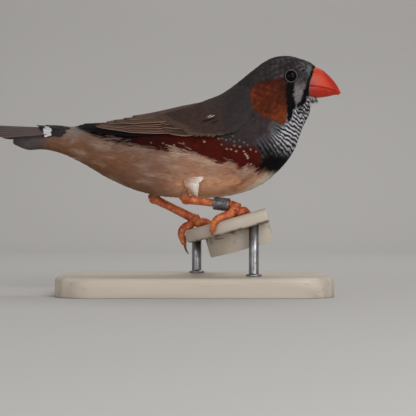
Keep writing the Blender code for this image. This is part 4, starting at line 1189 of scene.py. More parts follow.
def stiff_material():
    """Stiff feathers: barbs slant out from a dark shaft, and the vane's edges are worn
    and paler by a strength of their own."""
    material, tree, shader = new_material("flight feathers", 0.62, Specular_IOR_Level=0.12)
    base = read_field(tree, "plumage", "Color")
    across = read_field(tree, "across")
    edged = read_field(tree, "edged")
    place = node(tree, "ShaderNodeUVMap", uv_map="Barbs").outputs["UV"]
    split = node(tree, "ShaderNodeSeparateXYZ", {"Vector": place}).outputs
    out = math_node(tree, "ABSOLUTE", split["X"])
    slant = math_node(tree, "MULTIPLY_ADD", out, -1.6, split["Y"])
    lines = node(tree, "ShaderNodeCombineXYZ", {"X": math_node(tree, "MULTIPLY", slant, 9.0),
                                                "Y": split["X"]}).outputs["Vector"]
    streak = noise_at(tree, lines, 1.0, 3.0, 0.6)
    far = math_node(tree, "ABSOLUTE", across)
    worn = math_node(tree, "MULTIPLY_ADD", math_node(tree, "SUBTRACT", streak, 0.5), 0.25, far)
    pale = math_node(tree, "MULTIPLY", smooth_between(tree, worn, 0.72, 0.96), edged)
    gap = mixed(tree, 0.3, base, (0.0, 0.0, 0.0))
    colour = mixed(tree, smooth_between(tree, streak, 0.25, 0.8), gap, base)
    colour = mixed(tree, pale, colour, WING_EDGE)
    shaft = smooth_between(tree, far, 0.07, 0.03)
    colour = mixed(tree, shaft, colour, mixed(tree, 0.7, base, (0.004, 0.003, 0.003)))
    tint(tree, shader, colour)
    raise_surface(tree, shader, streak, 0.5, 0.00004)
    return material


vane_material = stiff_material()

# The rows of stiff feathers. roots and tips are those of the lowest and of the highest
# feather, as x and degrees. The tips bulge backwards and the lowest feather bows down.
PRIMARIES = dict(count=9, roots=((-1, 60), (-4, 44)), tips=((-33.2, 53), (-33.6, 14)), bulge=2.9, bow=0.9,
                 width=1.35, levels=(0.6, 0.85), tilt=0.2, blunt=0.72, colour=(8, 5, 6), edged=0.02)
SECONDARIES = dict(count=10, roots=((-4, 68), (-4, 28)), tips=((-30.5, 40), (-25.0, 14)), bulge=0.8, bow=0.3,
                   width=1.3, levels=(0.95, 1.1), tilt=0.26, blunt=0.8, colour=(72, 50, 44), edged=1.0)
TERTIALS = dict(count=3, roots=((-1, 44), (0.5, 24)), tips=((-24.5, 28), (-19.3, 14)), bulge=0.0, bow=0.0,
                width=2.2, levels=(1.4, 1.55), tilt=0.25, blunt=0.7, colour=(92, 70, 57), edged=0.5)
GREATER_COVERTS = dict(count=8, roots=((6, 74), (4.5, 31)), tips=((-8.5, 64), (-10.5, 24)), bulge=1.6,
                       bow=0.0, width=1.6, levels=(1.0, 1.3), tilt=0.22, blunt=0.6, colour=(76, 58, 49),
                       edged=0.7)


def wing_rows(side, seed):
    """The stiff feathers of one wing, row by row from the longest to the shortest."""
    draw = np.random.default_rng(seed)
    parts = []
    for row in (PRIMARIES, SECONDARIES, TERTIALS, GREATER_COVERTS):
        f = np.linspace(0, 1, row["count"])[:, None]
        per_mm = (1, 1 / DEGREES_PER_MM)
        root = (np.array(row["roots"][0]) * (1 - f) + np.array(row["roots"][1]) * f) * per_mm
        tip = (np.array(row["tips"][0]) * (1 - f) + np.array(row["tips"][1]) * f) * per_mm
        tip[:, 0] -= row["bulge"] * np.sin(math.pi * f[:, 0]) + draw.uniform(-0.45, 0.45, len(f))
        tip[:, 1] += draw.normal(0, 0.06, len(f))
        width = row["width"] * draw.uniform(0.94, 1.06, len(f))
        levels = np.array(row["levels"]) + draw.normal(0, 0.02, (len(f), 2))
        points, along, across, length = vanes(wing_place, root, tip, width, levels, row["tilt"],
                                              row["bow"] * (1 - f[:, 0]), row["blunt"], draw)
        colour = paint(*row["colour"]) * draw.normal(1.0, 0.06, (len(f), 1))
        colour = np.broadcast_to(colour[:, None, None], points.shape)
        edged = np.full(len(f), row["edged"]) * draw.uniform(0.8, 1.2, len(f))
        parts.append((points, across, length, colour, edged))
    points, across, length, colour, edged = [np.concatenate(group) for group in zip(*parts)]
    vane_piece(f"wing_{SIDE_NAMES[side]}", points, along, across, length, colour, edged, draw, side)


wing_rows(-1, 31)
wing_rows(1, 32)

# Seen from the side: the outline of the soft lobe over the wing's roots.
LOBE_OUTLINE = [
    (-10.5, 58.5), (-9.8, 55.0), (-6.4, 52.9), (-2.8, 51.4), (-0.2, 50.0), (3.0, 49.4), (6.2, 49.3),
    (9.8, 49.7), (13.4, 50.4), (16.5, 53.0), (18.5, 58.0), (17.0, 64.0), (8.0, 66.0)]
LOBE_EDGE = np.array([
    (-12, 54.5), (-6.4, 52.4), (-2.8, 50.7), (-0.2, 49.2), (3.0, 48.7), (6.2, 48.6), (9.8, 49.0),
    (13.4, 49.7), (16, 51)])
LOBE_FIRST, LOBE_LAST = 10, 82
LOBE_BROWN = paint(72, 55, 50)
LOBE_BUFF = paint(108, 86, 73)


def wing_lobe(side, seed):
    """Soft feathers over the shoulder: laid as the body's, on the flank raised by a
    smooth swell that falls away to the front and the back. The lowest are buff at the tip."""
    draw = np.random.default_rng(seed)
    x = WING_FRONT - WING_STEP * np.arange(WING_ROWS)[:, None]
    turn = WING_TOP + WING_TURN * np.arange(WING_COLUMNS)
    swell = 0.1 + 1.75 * ease(x, 19, 5) * ease(turn, 4, 34)
    over = Surface(wing_points + wing_base.table[..., 3:6] * swell[..., None], wraps=False)
    root = scatter(over, LOBE_FIRST, LOBE_LAST, 0.72, draw)
    base = over.at(root[:, 0], root[:, 1], 0.0)[0]
    root = root[inside(base[:, 0], base[:, 2], LOBE_OUTLINE, 0.05) > 0.5]
    long, wide = draw.uniform(2.3, 3.1, len(root)), draw.uniform(1.2, 1.6, len(root))
    form = comb(7, 0.6)
    points, normals = lay(over, root, long, wide, form, draw, lift=-0.3, rise=0.1, turn=-0.1)
    near = points[..., 2] - np.interp(points[..., 0], *LOBE_EDGE.T)
    rear = points[..., 0] - np.interp(points[..., 2], (51.4, 52.9, 55.0, 58.5), (-2.8, -6.4, -9.8, -10.5))
    buff = 0.85 * ease(near, 0.6, 0.1) * ease(points[..., 0], -6, -1) * ease(points[..., 0], 12, 8)
    buff = np.maximum(buff, 0.6 * ease(rear, 1.4, 0.2) * ease(points[..., 2], 57, 55))
    tone = blend(LOBE_BROWN, MANTLE, ease(points[..., 2], 56, 60))
    tone = blend(tone, markings(points)[0], ease(points[..., 0] + 0.3 * (points[..., 2] - 56), 3, 11))
    colour = blend(tone, LOBE_BUFF, buff * (0.3 + 0.7 * form[0]))
    shade = (0.86 + 0.2 * form[0]) * draw.normal(1.0, 0.06, (len(root), 1))
    patch = np.stack([root[:, 1] / WING_COLUMNS * 0.99,
                      (root[:, 0] - LOBE_FIRST) / (LOBE_LAST - LOBE_FIRST) * 0.99], axis=1)
    feather_piece(f"lobe_{SIDE_NAMES[side]}", form, points, normals, shade, patch, (long, wide), draw,
                  colour, side=side)


wing_lobe(-1, 33)
wing_lobe(1, 34)

# Two thin pale feathers have slipped out over the right shoulder, with four dark ones below.
FLECKS = [(6.2, 53.9), (5.6, 54.2), (6.6, 53.3), (7.4, 52.6), (5.4, 52.8), (4.2, 52.6)]
loose_feathers("shoulder_fleck", FLECKS,
               (2.6, 2.0, 2.6, 3.0, 3.0, 2.6), (0.34, 0.24, 0.5, 0.5, 0.5, 0.5),
               np.array([paint(186, 172, 166)] * 2 + [paint(44, 34, 33)] * 4), 3, 0.3, 78,
               turn=(0.15, 0.1, 0.2, 0.35, 0.1, 0.0), sides=(-1,), lift=1.72, rise=0.13)


# Tail
# Twelve long feathers folded flat and roofed across, under black coverts with white bars.
# The pale coverts below them belong to the coat of the rump.
TAIL_ROOT = np.array((-37.0, 0.0, 51.3))
TAIL_TIP = np.array((-62.3, 0.0, 52.5))
TAIL_ROOF = 9.0
TAIL_START = 4.6


def tail_place(a, b, height):
    """A place on the closed tail: a from root to tip, b to the left, roofed across."""
    ahead = unit(TAIL_TIP - TAIL_ROOT)
    up = np.array((ahead[2], 0.0, -ahead[0]))
    lift = height - b ** 2 / (2 * TAIL_ROOF)
    return TAIL_ROOT + a[..., None] * ahead + b[..., None] * np.array((0, 1, 0)) + lift[..., None] * up


def tail():
    """The six pairs, the outermost lowest, then two rows of uppertail coverts."""
    draw = np.random.default_rng(41)
    full = np.linalg.norm(TAIL_TIP - TAIL_ROOT)
    pair, side = np.meshgrid(np.arange(6)[::-1], (-1, 1), indexing="ij")
    pair, side = pair.ravel(), side.ravel()
    root = np.stack([np.full(12, TAIL_START - 2.5), side * (0.3 + 0.36 * pair)], axis=1)
    tip = np.stack([full - 0.35 * pair, side * (0.75 + 0.82 * pair)], axis=1)
    levels = np.stack([-0.25 - 0.12 * pair, -0.38 - 0.3 * pair - 0.1 * (side > 0)], axis=1)
    long = vanes(tail_place, root, tip, np.full(12, 1.75), levels, 0.04, np.zeros(12), 0.85, draw)
    b = np.array((-2.2, -0.75, 0.75, 2.2, -2.6, -1.3, 0.0, 1.3, 2.6))
    back = np.array((1,) * 4 + (0,) * 5)
    root = np.stack([1.6 + 2.0 * back, b * 0.75], axis=1)
    tip = np.stack([9.3 + 3.0 * back - 0.5 * np.abs(b), b * 1.1], axis=1)
    levels = np.stack([0.3 - 0.05 * np.abs(b), 0.55 - 0.2 * back - 0.05 * np.abs(b)], axis=1)
    short = vanes(tail_place, root, tip, np.full(9, 1.3), levels, 0.05, np.zeros(9), 0.5, draw)
    dark = np.broadcast_to(paint(84, 76, 78), long[0].shape)
    barred = np.broadcast_to(paint(38, 34, 37), short[0].shape)
    points, across, length = [np.concatenate([long[i], short[i]]) for i in (0, 2, 3)]
    edged = np.concatenate([np.full(12, 0.22), np.zeros(9)])
    vane_piece("tail", points, long[1], across, length, np.concatenate([dark, barred]), edged, draw)


tail()


def side_coverts():
    """Black coverts that hang over the side of the tail's root, and a white bar on them."""
    draw = np.random.default_rng(42)
    dark = np.stack([draw.uniform(-45.5, -39.5, 90), draw.uniform(48.8, 51.4, 90)], axis=1)
    loose_feathers("tail_coverts", dark, 2.6, 1.2, paint(52, 47, 50), 5, 0.4, 43, lift=0.75, rise=0.04)
    white = np.stack([draw.uniform(-44.2, -43.9, 8), np.linspace(48.8, 50.6, 8)], axis=1)
    loose_feathers("tail_bar", white, 2.5, 0.9, paint(206, 202, 204), 5, 0.8, 44, lift=1.1, rise=0.04)


side_coverts()


# Rim
# A short length of rim in pale moulded plastic: a flat lip on the top of
# the wall, cut square at both ends, scratched, stained in patches, with painted shade under the lip.
RIM_TILT = math.radians(16)
RIM_CENTRE = np.array((17.3, 6.5, 25.4))
RIM_BEND = 18.0
RIM_START = math.radians(35)
RIM_STRAIGHT = 4.2
RIM_BEND_END = RIM_BEND * (math.pi / 2 + RIM_START)
RIM_END = RIM_BEND_END + RIM_STRAIGHT
RIM_SLOPE = np.array((math.cos(RIM_TILT), 0.0, math.sin(RIM_TILT)))
RIM_UP = np.array((-math.sin(RIM_TILT), 0.0, math.cos(RIM_TILT)))
LIP_HALF = 3.75
LIP_HEIGHT = 4.1
LIP_EDGE = 1.4
WALL = 1.6
WALL_DROP = 6.2


def rim_line(a):
    """Points on the middle of the rim's top, a millimetres along it, and the outward
    directions: an arc about its centre, then a straight run."""
    a = np.asarray(a, float)[..., None]
    turn = math.pi - RIM_START + np.minimum(a, RIM_BEND_END) / RIM_BEND
    out = RIM_SLOPE * np.cos(turn) + np.array((0, 1, 0)) * np.sin(turn)
    return RIM_CENTRE + out * RIM_BEND + RIM_SLOPE * np.maximum(a - RIM_BEND_END, 0), out


def rim_place(a, c, height):
    """Points over the rim: a along it, c round its section from the middle of the top."""
    a, c, height = np.broadcast_arrays(*[np.asarray(v, float) for v in (a, c, height)])
    point, out = rim_line(a)
    side, c = np.where(c >= 0, 1.0, -1.0), np.abs(c)
    flat = LIP_HALF - LIP_EDGE
    turn = np.clip((c - flat) / LIP_EDGE, 0, math.pi / 2)
    past = np.maximum(c - flat - LIP_EDGE * math.pi / 2, 0)
    q = np.minimum(c, flat) + (LIP_EDGE + height) * np.sin(turn)
    drop = LIP_EDGE * (1 - np.cos(turn)) + past - height * np.cos(turn)
    return point + out * (side * q)[..., None] - RIM_UP * drop[..., None]


def rounded(corners, steps=5):
    """A closed outline with each corner (x, y, radius) turned by an arc of a few points."""
    corners = np.array(corners, float)
    found = []
    for i, (x, y, radius) in enumerate(corners):
        here = np.array((x, y))
        before = unit(corners[i - 1, :2] - here)
        after = unit(corners[(i + 1) % len(corners), :2] - here)
        f = np.linspace(0, 1, steps)[:, None]
        first, last = here + before * radius, here + after * radius
        found.append((1 - f) ** 2 * first + 2 * f * (1 - f) * here + f ** 2 * last)
    return np.concatenate(found)


def plastic_material():
    """Pale plastic with a fine moulded grain, scratches along it, brown stains in patches,
    and the same brown painted in the corner under the lip as painted shade."""
    material, tree, shader = new_material("rim", 0.42, Subsurface_Weight=0.08, Subsurface_Scale=0.001)
    grime_and_shade = read_field(tree, "grime_and_shade")
    where = object_place(tree)
    cloud, spots = noise_at(tree, where, 160.0, 4.0), noise_at(tree, where, 420.0, 2.0, 0.5)
    clean = mixed(tree, cloud, paint(192, 180, 164), paint(208, 198, 184))
    stain_and_shade = smooth_between(tree, math_node(tree, "MULTIPLY_ADD", spots, 1.1, grime_and_shade), 0.85, 1.5)
    dirt_and_shade = mixed(tree, stain_and_shade, clean, paint(112, 86, 66))
    specks = smooth_between(tree, noise_at(tree, where, 2200.0, 2.0), 0.72, 0.8)
    tint(tree, shader, mixed(tree, math_node(tree, "MULTIPLY", specks, 0.5), dirt_and_shade, paint(96, 78, 64)))
    tree.links.new(math_node(tree, "MULTIPLY_ADD", stain_and_shade, 0.3, 0.38), shader.inputs["Roughness"])
    scratch = stretched(tree, where, (500.0, 9000.0, 5000.0), (0.3, 0.28, 0.5))
    height = math_node(tree, "ADD", noise_at(tree, scratch, 1.0, 2.0), noise_at(tree, where, 5000.0, 2.0))
    raise_surface(tree, shader, height, 0.25, 0.00005)
    return material


def perch_rim():
    """The section carried along the rim's line, with its cut ends slightly rounded."""
    profile = rounded([
        (-LIP_HALF, 0, 1.7), (-LIP_HALF, -LIP_HEIGHT - WALL_DROP, 0.25),
        (-LIP_HALF + WALL, -LIP_HEIGHT - WALL_DROP, 0.25), (-LIP_HALF + WALL, -LIP_HEIGHT, 0.6),
        (LIP_HALF, -LIP_HEIGHT, 1.5), (LIP_HALF, 0, 2.1)], 9)
    centre = np.array((-0.6, -2.4))
    ends = np.array((0.0, 0.05, 0.16, 0.35))
    a = np.concatenate([ends, np.linspace(0.8, RIM_END - 0.8, 70), (RIM_END - ends)[::-1]])
    shrink = np.interp(a, [0, 0.05, 0.16, 0.35, RIM_END - 0.35, RIM_END - 0.16, RIM_END - 0.05, RIM_END],
                       [0.93, 0.97, 0.99, 1, 1, 0.99, 0.97, 0.93])
    point, out = rim_line(a)
    flat = centre + (profile - centre) * shrink[:, None, None]
    points = point[:, None] + out[:, None] * flat[..., :1] + RIM_UP * flat[..., 1:]
    flat_points = points.reshape(-1, 3)
    mesh = new_mesh("perch_rim", points, closed_faces(*points.shape[:2]))
    depth = np.broadcast_to(flat[..., 1], points.shape[:2]).ravel()
    # Painted shade: the corner under the lip is painted brown. The worn patches are stains.
    under = ease(depth, -2.8, -LIP_HEIGHT) * ease(depth, -LIP_HEIGHT - 1.2, -LIP_HEIGHT)
    worn = 0.25 * ease(ripple(flat_points, 6.0, 51), 0.2, 1.0)
    set_field(mesh, "grime_and_shade", np.clip(0.75 * under + worn, 0, 1))
    wear(mesh, plastic_material(), "perch_rim", "perch_rim")


perch_rim()


# Legs and feet
# Bare orange legs with overlapping scutes down the front and over the toes, and soft pads
# below. The feet hold the rim, three toes over its inner side and one outside.
LEFT_KNEE, LEFT_HEEL, LEFT_JOINT = np.array([(-7.4, 5.4, 37.0), (-13.6, 7.6, 29.9), (-0.5, 6.4, 23.4)])
RIGHT_KNEE, RIGHT_HEEL, RIGHT_JOINT = np.array([(2.0, -4.8, 36.8), (-3.4, -6.7, 29.3), (12.0, -10.3, 27.4)])
LEFT_PLACE = RIM_BEND * RIM_START
RIGHT_PLACE = LEFT_PLACE + RIM_BEND * math.radians(73.5)
ANKLE = 0.5
SKIN_GAP = 0.12
TOE_GAP = SKIN_GAP - 0.04
CLAW_ROOT = SKIN_GAP - 0.6
CLAW_RINGS = 33
TOE_START = 1.3
TOE_END = 0.78
CLAW_LEVEL = 0.62
TOE_FAN = 1.05
SCUTE = 0.95
# Each toe: its heading in degrees from straight outwards, its reach and its curl; then
# the length of its claw, the claw's curl and how far its point falls.
LEFT_TOES = {
    "hallux": (2, 7.6, 0, 3.0, 0, 0.3),
    "inner": (152, 8.0, 8, 2.6, 0, 0.45),
    "middle": (180, 9.4, 0, 2.8, 0, 0.45),
    "outer": (208, 8.0, -8, 2.6, 0, 0.45),
}
RIGHT_TOES = {
    "hallux": (-68, 8.6, 22, 3.6, 150, 0.4),
    "inner": (200, 8.2, -12, 2.6, 0, 0.45),
    "middle": (163, 9.6, 4, 2.8, 0, 0.45),
    "outer": (128, 8.4, 16, 2.6, 0, 0.45),
}


def tube(path, radii, up, run_at, sides, flat=1.0):
    """Rings round a smooth path, at given lengths along it as shares of the whole. Each
    starts at its upper side. Gives the points, the length run and the turn round a ring."""
    path, radii, up = np.asarray(path, float), np.asarray(radii, float), np.asarray(up, float)
    fine = np.linspace(0, len(path) - 1, 40 * len(path))
    line = smooth_rows(path, fine)
    run = np.concatenate([[0], np.cumsum(np.linalg.norm(np.diff(line, axis=0), axis=1))])
    places = np.interp(run_at * run[-1], run, fine)
    line = smooth_rows(path, places)
    ahead = unit(smooth_rows(path, places + 0.02) - smooth_rows(path, places - 0.02))
    rise = smooth_rows(np.broadcast_to(up, path.shape), places)
    rise = unit(rise - ahead * (rise * ahead).sum(axis=1, keepdims=True))
    aside = np.cross(rise, ahead)
    radius = smooth_rows(radii[:, None], places)[:, 0]
    turn = np.linspace(0, 2 * math.pi, sides, endpoint=False)
    out = rise[:, None] * np.cos(turn)[:, None] - flat * aside[:, None] * np.sin(turn)[:, None]
    return line, out, radius, run_at * run[-1], turn


def scaled_limb(path, radii, up, flat, sides=28, sole=0.0, tip=False):
    """A leg or a toe: plates on its upper side that each rise a little towards the end
    and drop to the next, and pads that swell below where it has a sole."""
    whole = np.linalg.norm(np.diff(np.asarray(path, float), axis=0), axis=1).sum()
    count = max(3, round(whole / SCUTE))
    uneven = 1 + 0.3 * np.sin(2.4 * np.arange(count) + whole)
    part = np.array((0.0, 0.12, 0.5, 0.86, 0.97))
    run_at = ((np.cumsum(uneven) - uneven)[:, None] + uneven[:, None] * part).ravel() / uneven.sum()
    run_at, part = np.append(run_at, 1.0), np.append(np.tile(part, count), 0.0)
    line, out, radius, run, turn = tube(path, radii, up, run_at, sides, flat)
    over, below = ease(np.cos(turn), 0.0, 0.55), ease(-np.cos(turn), 0.1, 0.8)
    plate = 0.05 * (part / 0.97)
    swell = sole * np.abs(np.sin(math.pi * run / (2.9 * SCUTE)))
    grow = plate[:, None] * over + swell[:, None] * below
    grow = grow - 0.03 * (np.abs(np.sin(2.5 * math.pi * run / SCUTE))[:, None]) * (1 - over) * (1 - below)
    if tip:
        radius = radius * np.sqrt(np.clip(1.02 - ease(run_at, 0.9, 1.0) ** 2, 0.02, 1))
        grow = grow * ease(run_at, 1.0, 0.95)[:, None]
    points = line[:, None] + out * (radius[:, None] + grow)[..., None]
    crease = (1 - ease(part, 0.0, 0.14))[:, None] * over
    crease = crease + 0.6 * (1 - ease(swell, 0, 0.4 * sole + 1e-6))[:, None] * below
    return points, crease, np.stack(np.broadcast_arrays(turn / (2 * math.pi), run_at[:, None]), axis=-1)


def limb_piece(name, limbs, material, slot, *nodes):
    """One piece from several limbs, each a closed body with its own strip of the map."""
    points, creases, maps, groups = [], [], [], []
    start = 0
    for k, (limb, crease, place) in enumerate(limbs):
        groups += [group + start for group in closed_faces(*limb.shape[:2])]
        start += limb.shape[0] * limb.shape[1]
        points.append(limb.reshape(-1, 3))
        creases.append(np.broadcast_to(crease, limb.shape[:2]).ravel())
        maps.append(((place * 0.94 + 0.03 + (k, 0)) / (len(limbs), 1)).reshape(-1, 2))
    mesh = new_mesh(name, np.concatenate(points), groups)
    set_field(mesh, "crease", np.concatenate(creases))
    set_map(mesh, "OFBake", np.concatenate(maps))
    return wear(mesh, material, slot, *nodes)


def leg_material():
    """Bare leg skin: orange plates with browner joints between them and a fine grain."""
    material, tree, shader = new_material("leg skin", 0.42, Subsurface_Weight=0.15, Subsurface_Scale=0.0006)
    shader.inputs["Subsurface Radius"].default_value = (1.0, 0.3, 0.15)
    crease = read_field(tree, "crease")
    where = object_place(tree)
    patch, grain = noise_at(tree, where, 420.0, 3.0), noise_at(tree, where, 3000.0, 3.0)
    skin_tone = mixed(tree, smooth_between(tree, patch, 0.35, 0.7), paint(172, 66, 32), paint(218, 122, 62))
    skin_tone = mixed(tree, smooth_between(tree, grain, 0.5, 0.85), skin_tone, paint(140, 58, 32))
    flaky = smooth_between(tree, noise_at(tree, where, 900.0, 3.0, 0.6), 0.55, 0.75)
    skin_tone = mixed(tree, math_node(tree, "MULTIPLY", flaky, 0.7), skin_tone, paint(238, 186, 140))
    tint(tree, shader, mixed(tree, math_node(tree, "MULTIPLY", crease, 0.45), skin_tone, paint(150, 62, 30)))
    raise_surface(tree, shader, grain, 0.4, 0.00006)
    return material


def claw_material():
    """Dark horn: brown at the root and nearly black to the point, ridged along it."""
    material, tree, shader = new_material("claws", 0.32)
    along = read_field(tree, "crease")
    where = object_place(tree)
    grain = noise_at(tree, where, 2600.0, 3.0)
    root_tone = mixed(tree, grain, paint(126, 98, 80), paint(100, 76, 60))
    tint(tree, shader, mixed(tree, along, root_tone, paint(64, 50, 44)))
    raise_surface(tree, shader, grain, 0.3, 0.00004)
    return material


leg_skin, claw_horn = leg_material(), claw_material()


def rim_rise(a, c):
    """The direction off the rim's surface."""
    return rim_place(a, c, 1.0) - rim_place(a, c, 0.0)


def toe(joint, a0, turn, reach, curl):
    """A toe from the joint down to the rim, then along it at its own radius over it."""
    lean = math.radians(turn)
    f = np.linspace(0, 1, 9)
    radius = TOE_START + (TOE_END - TOE_START) * f
    run = TOE_FAN + (reach - TOE_FAN) * f
    heading = np.radians(turn + curl * f)
    a, c = a0 + run * np.sin(heading), run * np.cos(heading)
    fan = rim_place(a0 + TOE_FAN * math.sin(lean), TOE_FAN * math.cos(lean), 1.4)
    path = np.concatenate([[joint + (fan - joint) * 0.62], rim_place(a, c, radius + TOE_GAP)])
    up = np.concatenate([rim_rise(a[:1], c[:1]), rim_rise(a, c)])
    return scaled_limb(path, np.append(TOE_START * 1.05, radius), up, 1.05, sole=0.09, tip=True)


def claw(side, name, a0, turn, reach, curl, length, claw_curl, fall):
    """A hook from inside the toe's end along its heading, that rises a little, then
    falls to its point. It is deeper than it is wide."""
    end = math.radians(turn + curl)
    heading = end + math.atan(math.radians(curl))
    a = a0 + reach * math.sin(end)
    c = reach * math.cos(end)
    f = np.linspace(0, 1, 9)
    way = CLAW_ROOT + (length - CLAW_ROOT) * f
    bend = heading + np.radians(claw_curl * f * 0.5)
    height = CLAW_LEVEL + SKIN_GAP + 0.25 * np.sin(math.pi * f) - fall * f * f
    places = (a + way * np.sin(bend), c + way * np.cos(bend))
    path = rim_place(*places, height)
    radii = 0.44 * (1 - f) ** 0.7 + 0.06
    up = rim_rise(*places)
    line, out, radius, _, turn_round = tube(path, radii, up, np.linspace(0, 1, CLAW_RINGS) ** 0.9, 16, 0.8)
    points = line[:, None] + out * radius[:, None, None]
    along = np.linspace(0, 1, CLAW_RINGS)[:, None]
    place = np.stack(np.broadcast_arrays(turn_round / (2 * math.pi), along), axis=-1)
    label = f"claw_{side}_{name}"
    limb_piece(label, [(points, ease(along, 0.1, 0.9), place)], claw_horn, "claw", label)


def leg(side, heel, joint, a0, toes):
    """One leg: the shank, the foot in one piece with its toes, and its four claws."""
    ahead = unit(joint - heel)
    front = np.array((0.35, 0.0, 1.0))
    f = np.array((0, 0.06, 0.15, 0.5, 0.88, 1.0))
    shank = heel + (joint - ahead * (ANKLE - 0.2) - heel) * f[:, None]
    shank = np.concatenate([[heel - ahead * 0.75], [heel - ahead * 0.5], shank])
    radii = np.array((0.35, 0.95, 1.35, 1.5, 1.24, 1.15, 1.25, 1.25)) * (1.12 if side == "left" else 1.0)
    limb = scaled_limb(shank, radii, front, 0.85)
    limb_piece(f"tarsus_{side}", [limb], leg_skin, "leg_skin", f"tarsus_{side}")
    palm = rim_place(a0, 0.0, 1.3)
    stub = np.array([joint - ahead * ANKLE, joint - ahead * 0.1, joint + ahead * 0.3,
                     joint + (palm - joint) * 0.8])
    limbs = [scaled_limb(stub, (1.2, 1.5, 1.85, 1.75), front, 1.0, tip=True)]
    for name, (turn, reach, curl, length, claw_curl, fall) in toes.items():
        limbs.append(toe(joint, a0, turn, reach, curl))
        claw(side, name, a0, turn, reach, curl, length, claw_curl, fall)
    limb_piece(f"foot_{side}", limbs, leg_skin, "leg_skin", f"foot_{side}")


leg("left", LEFT_HEEL, LEFT_JOINT, LEFT_PLACE, LEFT_TOES)
leg("right", RIGHT_HEEL, RIGHT_JOINT, RIGHT_PLACE, RIGHT_TOES)


HEEL_TONE = paint(158, 106, 80)
SHIN_ORANGE = paint(190, 98, 56)
THIGH_WHITE = paint(255, 246, 234)
SHIN_RINGS, SHIN_SIDES = 41, 48


def shin(side, knee, heel, draw):
    """The feathered shin: a soft core under feathers in the belly's colours, which run
    down to the heel."""
    share = np.linspace(0, 1, SHIN_RINGS)
    path = knee + (heel - knee) * 0.92 * np.array((0.0, 0.45, 0.75, 0.92, 1.0))[:, None]
    radii = (2.4, 2.3, 2.0, 1.7, 1.5)
    line, out, radius, _, turn = tube(path, radii, (1.0, 0.0, 0.4), share, SHIN_SIDES, 0.8)
    core = line[:, None] + out * (radius[:, None, None] - 0.5)
    mesh = new_mesh(f"thigh_{side}", core, closed_faces(*core.shape[:2]))
    mark(mesh, core.reshape(-1, 3), 0.6, np.broadcast_to(BELLY_SIDE, core.shape).reshape(-1, 3))
    place = np.stack(np.broadcast_arrays(turn / (2 * math.pi), share[:, None]), axis=-1)
    set_map(mesh, "OFBake", place.reshape(-1, 2))
    set_map(mesh, "Barbs", (place * (20.0, 8.0)).reshape(-1, 2))
    wear(mesh, plumage_material, "plumage", f"thigh_{side}")
    over = Surface(line[:, None] + out * radius[:, None, None], wraps=True)
    root = scatter(over, 0, 39, 0.55, draw)
    long, wide = draw.uniform(1.9, 3.0, len(root)), draw.uniform(0.8, 1.2, len(root))
    form = comb(5, 0.3)
    points, normals = lay(over, root, long, wide, form, draw, lift=-0.3, rise=0.1)
    orange = ease(root[:, 0], 18, 40)[:, None, None]
    colour = markings(points)[0] * (1 - orange) + HEEL_TONE * orange
    shade = (0.86 + 0.2 * form[0]) * draw.normal(1.0, 0.07, (len(root), 1))
    patch = root[:, ::-1] / (SHIN_SIDES + 0.5, SHIN_RINGS) % 1 * MAP_SPAN
    feather_piece(f"thigh_feathers_{side}", form, points, normals, shade, patch, (long, wide), draw, colour)


def heel_wisps(side, knee, heel, joint, seed, draw):
    """Thin feathers round the heel, each from a place round the shin to one round the
    bare shank, which bow out at the corner between them."""
    count = 520
    down_shin, down_shank = unit(heel - knee), unit(joint - heel)
    corner = unit(down_shin - down_shank)
    aside = unit(np.cross(down_shin, down_shank))
    around = draw.uniform(0, 2 * math.pi, count)[:, None]
    part = draw.uniform(0, 1, count)[:, None]
    from_shin = aside * np.cos(around) + np.cross(aside, down_shin) * np.sin(around)
    from_shank = aside * np.cos(around) + np.cross(aside, down_shank) * np.sin(around)
    thick = 1.5 - 0.15 * part
    start = heel - down_shin * (2.6 - 3.2 * part) + from_shin * thick
    end = heel + down_shank * (0.1 + 2.6 * part) + from_shank * (thick - 0.25)
    outer = np.clip((from_shank * corner).sum(axis=1, keepdims=True), 0, 1)
    bow = (corner * (0.1 + 0.5 * outer * (1 - part)))[:, None]
    tone = blend(np.broadcast_to(HEEL_TONE, end.shape), SHIN_ORANGE, ease(part[:, 0], 0.45, 1.0))
    tone = tone * draw.normal(1.0, 0.1, (count, 1))
    facing = unit(from_shin + from_shank)
    wisps(f"heel_wisps_{side}", start, end, bow, 0.5, facing, tone, 3, 0.25, seed, thick=0.04)


def thigh_front():
    """The white front of the right thigh: short feathers that run back along its top, and
    longer ones that fall from there over the heel, browner to the rear."""
    draw = np.random.default_rng(63)
    count = 90
    swing, f = draw.normal(0, 1, (2, count))
    start = np.stack([1.9 + 0.5 * f, -9.7 + 0 * f, 35.9 + 0.25 * swing], axis=1)
    end = np.stack([draw.uniform(-3.4, 0.2, count), -9.8 + 0 * f, 34.9 + 0.4 * swing], axis=1)
    pale = np.clip(1.2 - 0.28 * (0.2 - end[:, 0]), 0, 1)
    wisps("thigh_crest", start, end, np.array((0.0, -0.5, -0.35)), 0.36, (0.0, -1.0, 0.3),
          blend(BELLY, THIGH_WHITE, pale), 3, 0.2, 65, thick=0.04)
    count = 340
    f = draw.uniform(0, 1, count)
    drop = draw.uniform(1.8, 5.4, count) * (0.55 + 0.45 * f)
    start = np.stack([-3.0 + 4.0 * f + draw.normal(0, 0.25, count), -9.4 - 0.4 * f,
                      34.9 + 0.3 * f + draw.normal(0, 0.45, count)], axis=1)
    aim = 0.85 - 0.8 * (1 - f) + draw.normal(0, 0.3, count)
    x = start[:, 0] + (aim - start[:, 0]) * drop / 5.0
    end = np.stack([x, -9.6 + 0.22 * drop, start[:, 2] - drop], axis=1)
    bow = np.stack([-0.12 * drop, -0.4 + 0 * f, 0 * f], axis=1)[:, None]
    pale = np.clip(1.3 * f - 0.05 * drop + draw.normal(0, 0.12, count), 0, 1)
    wisps("thigh_tuft", start, end, bow, 0.34, (0.1, -1.0, 0.1), blend(BELLY, THIGH_WHITE, pale), 3, 0.2,
          64, thick=0.04)


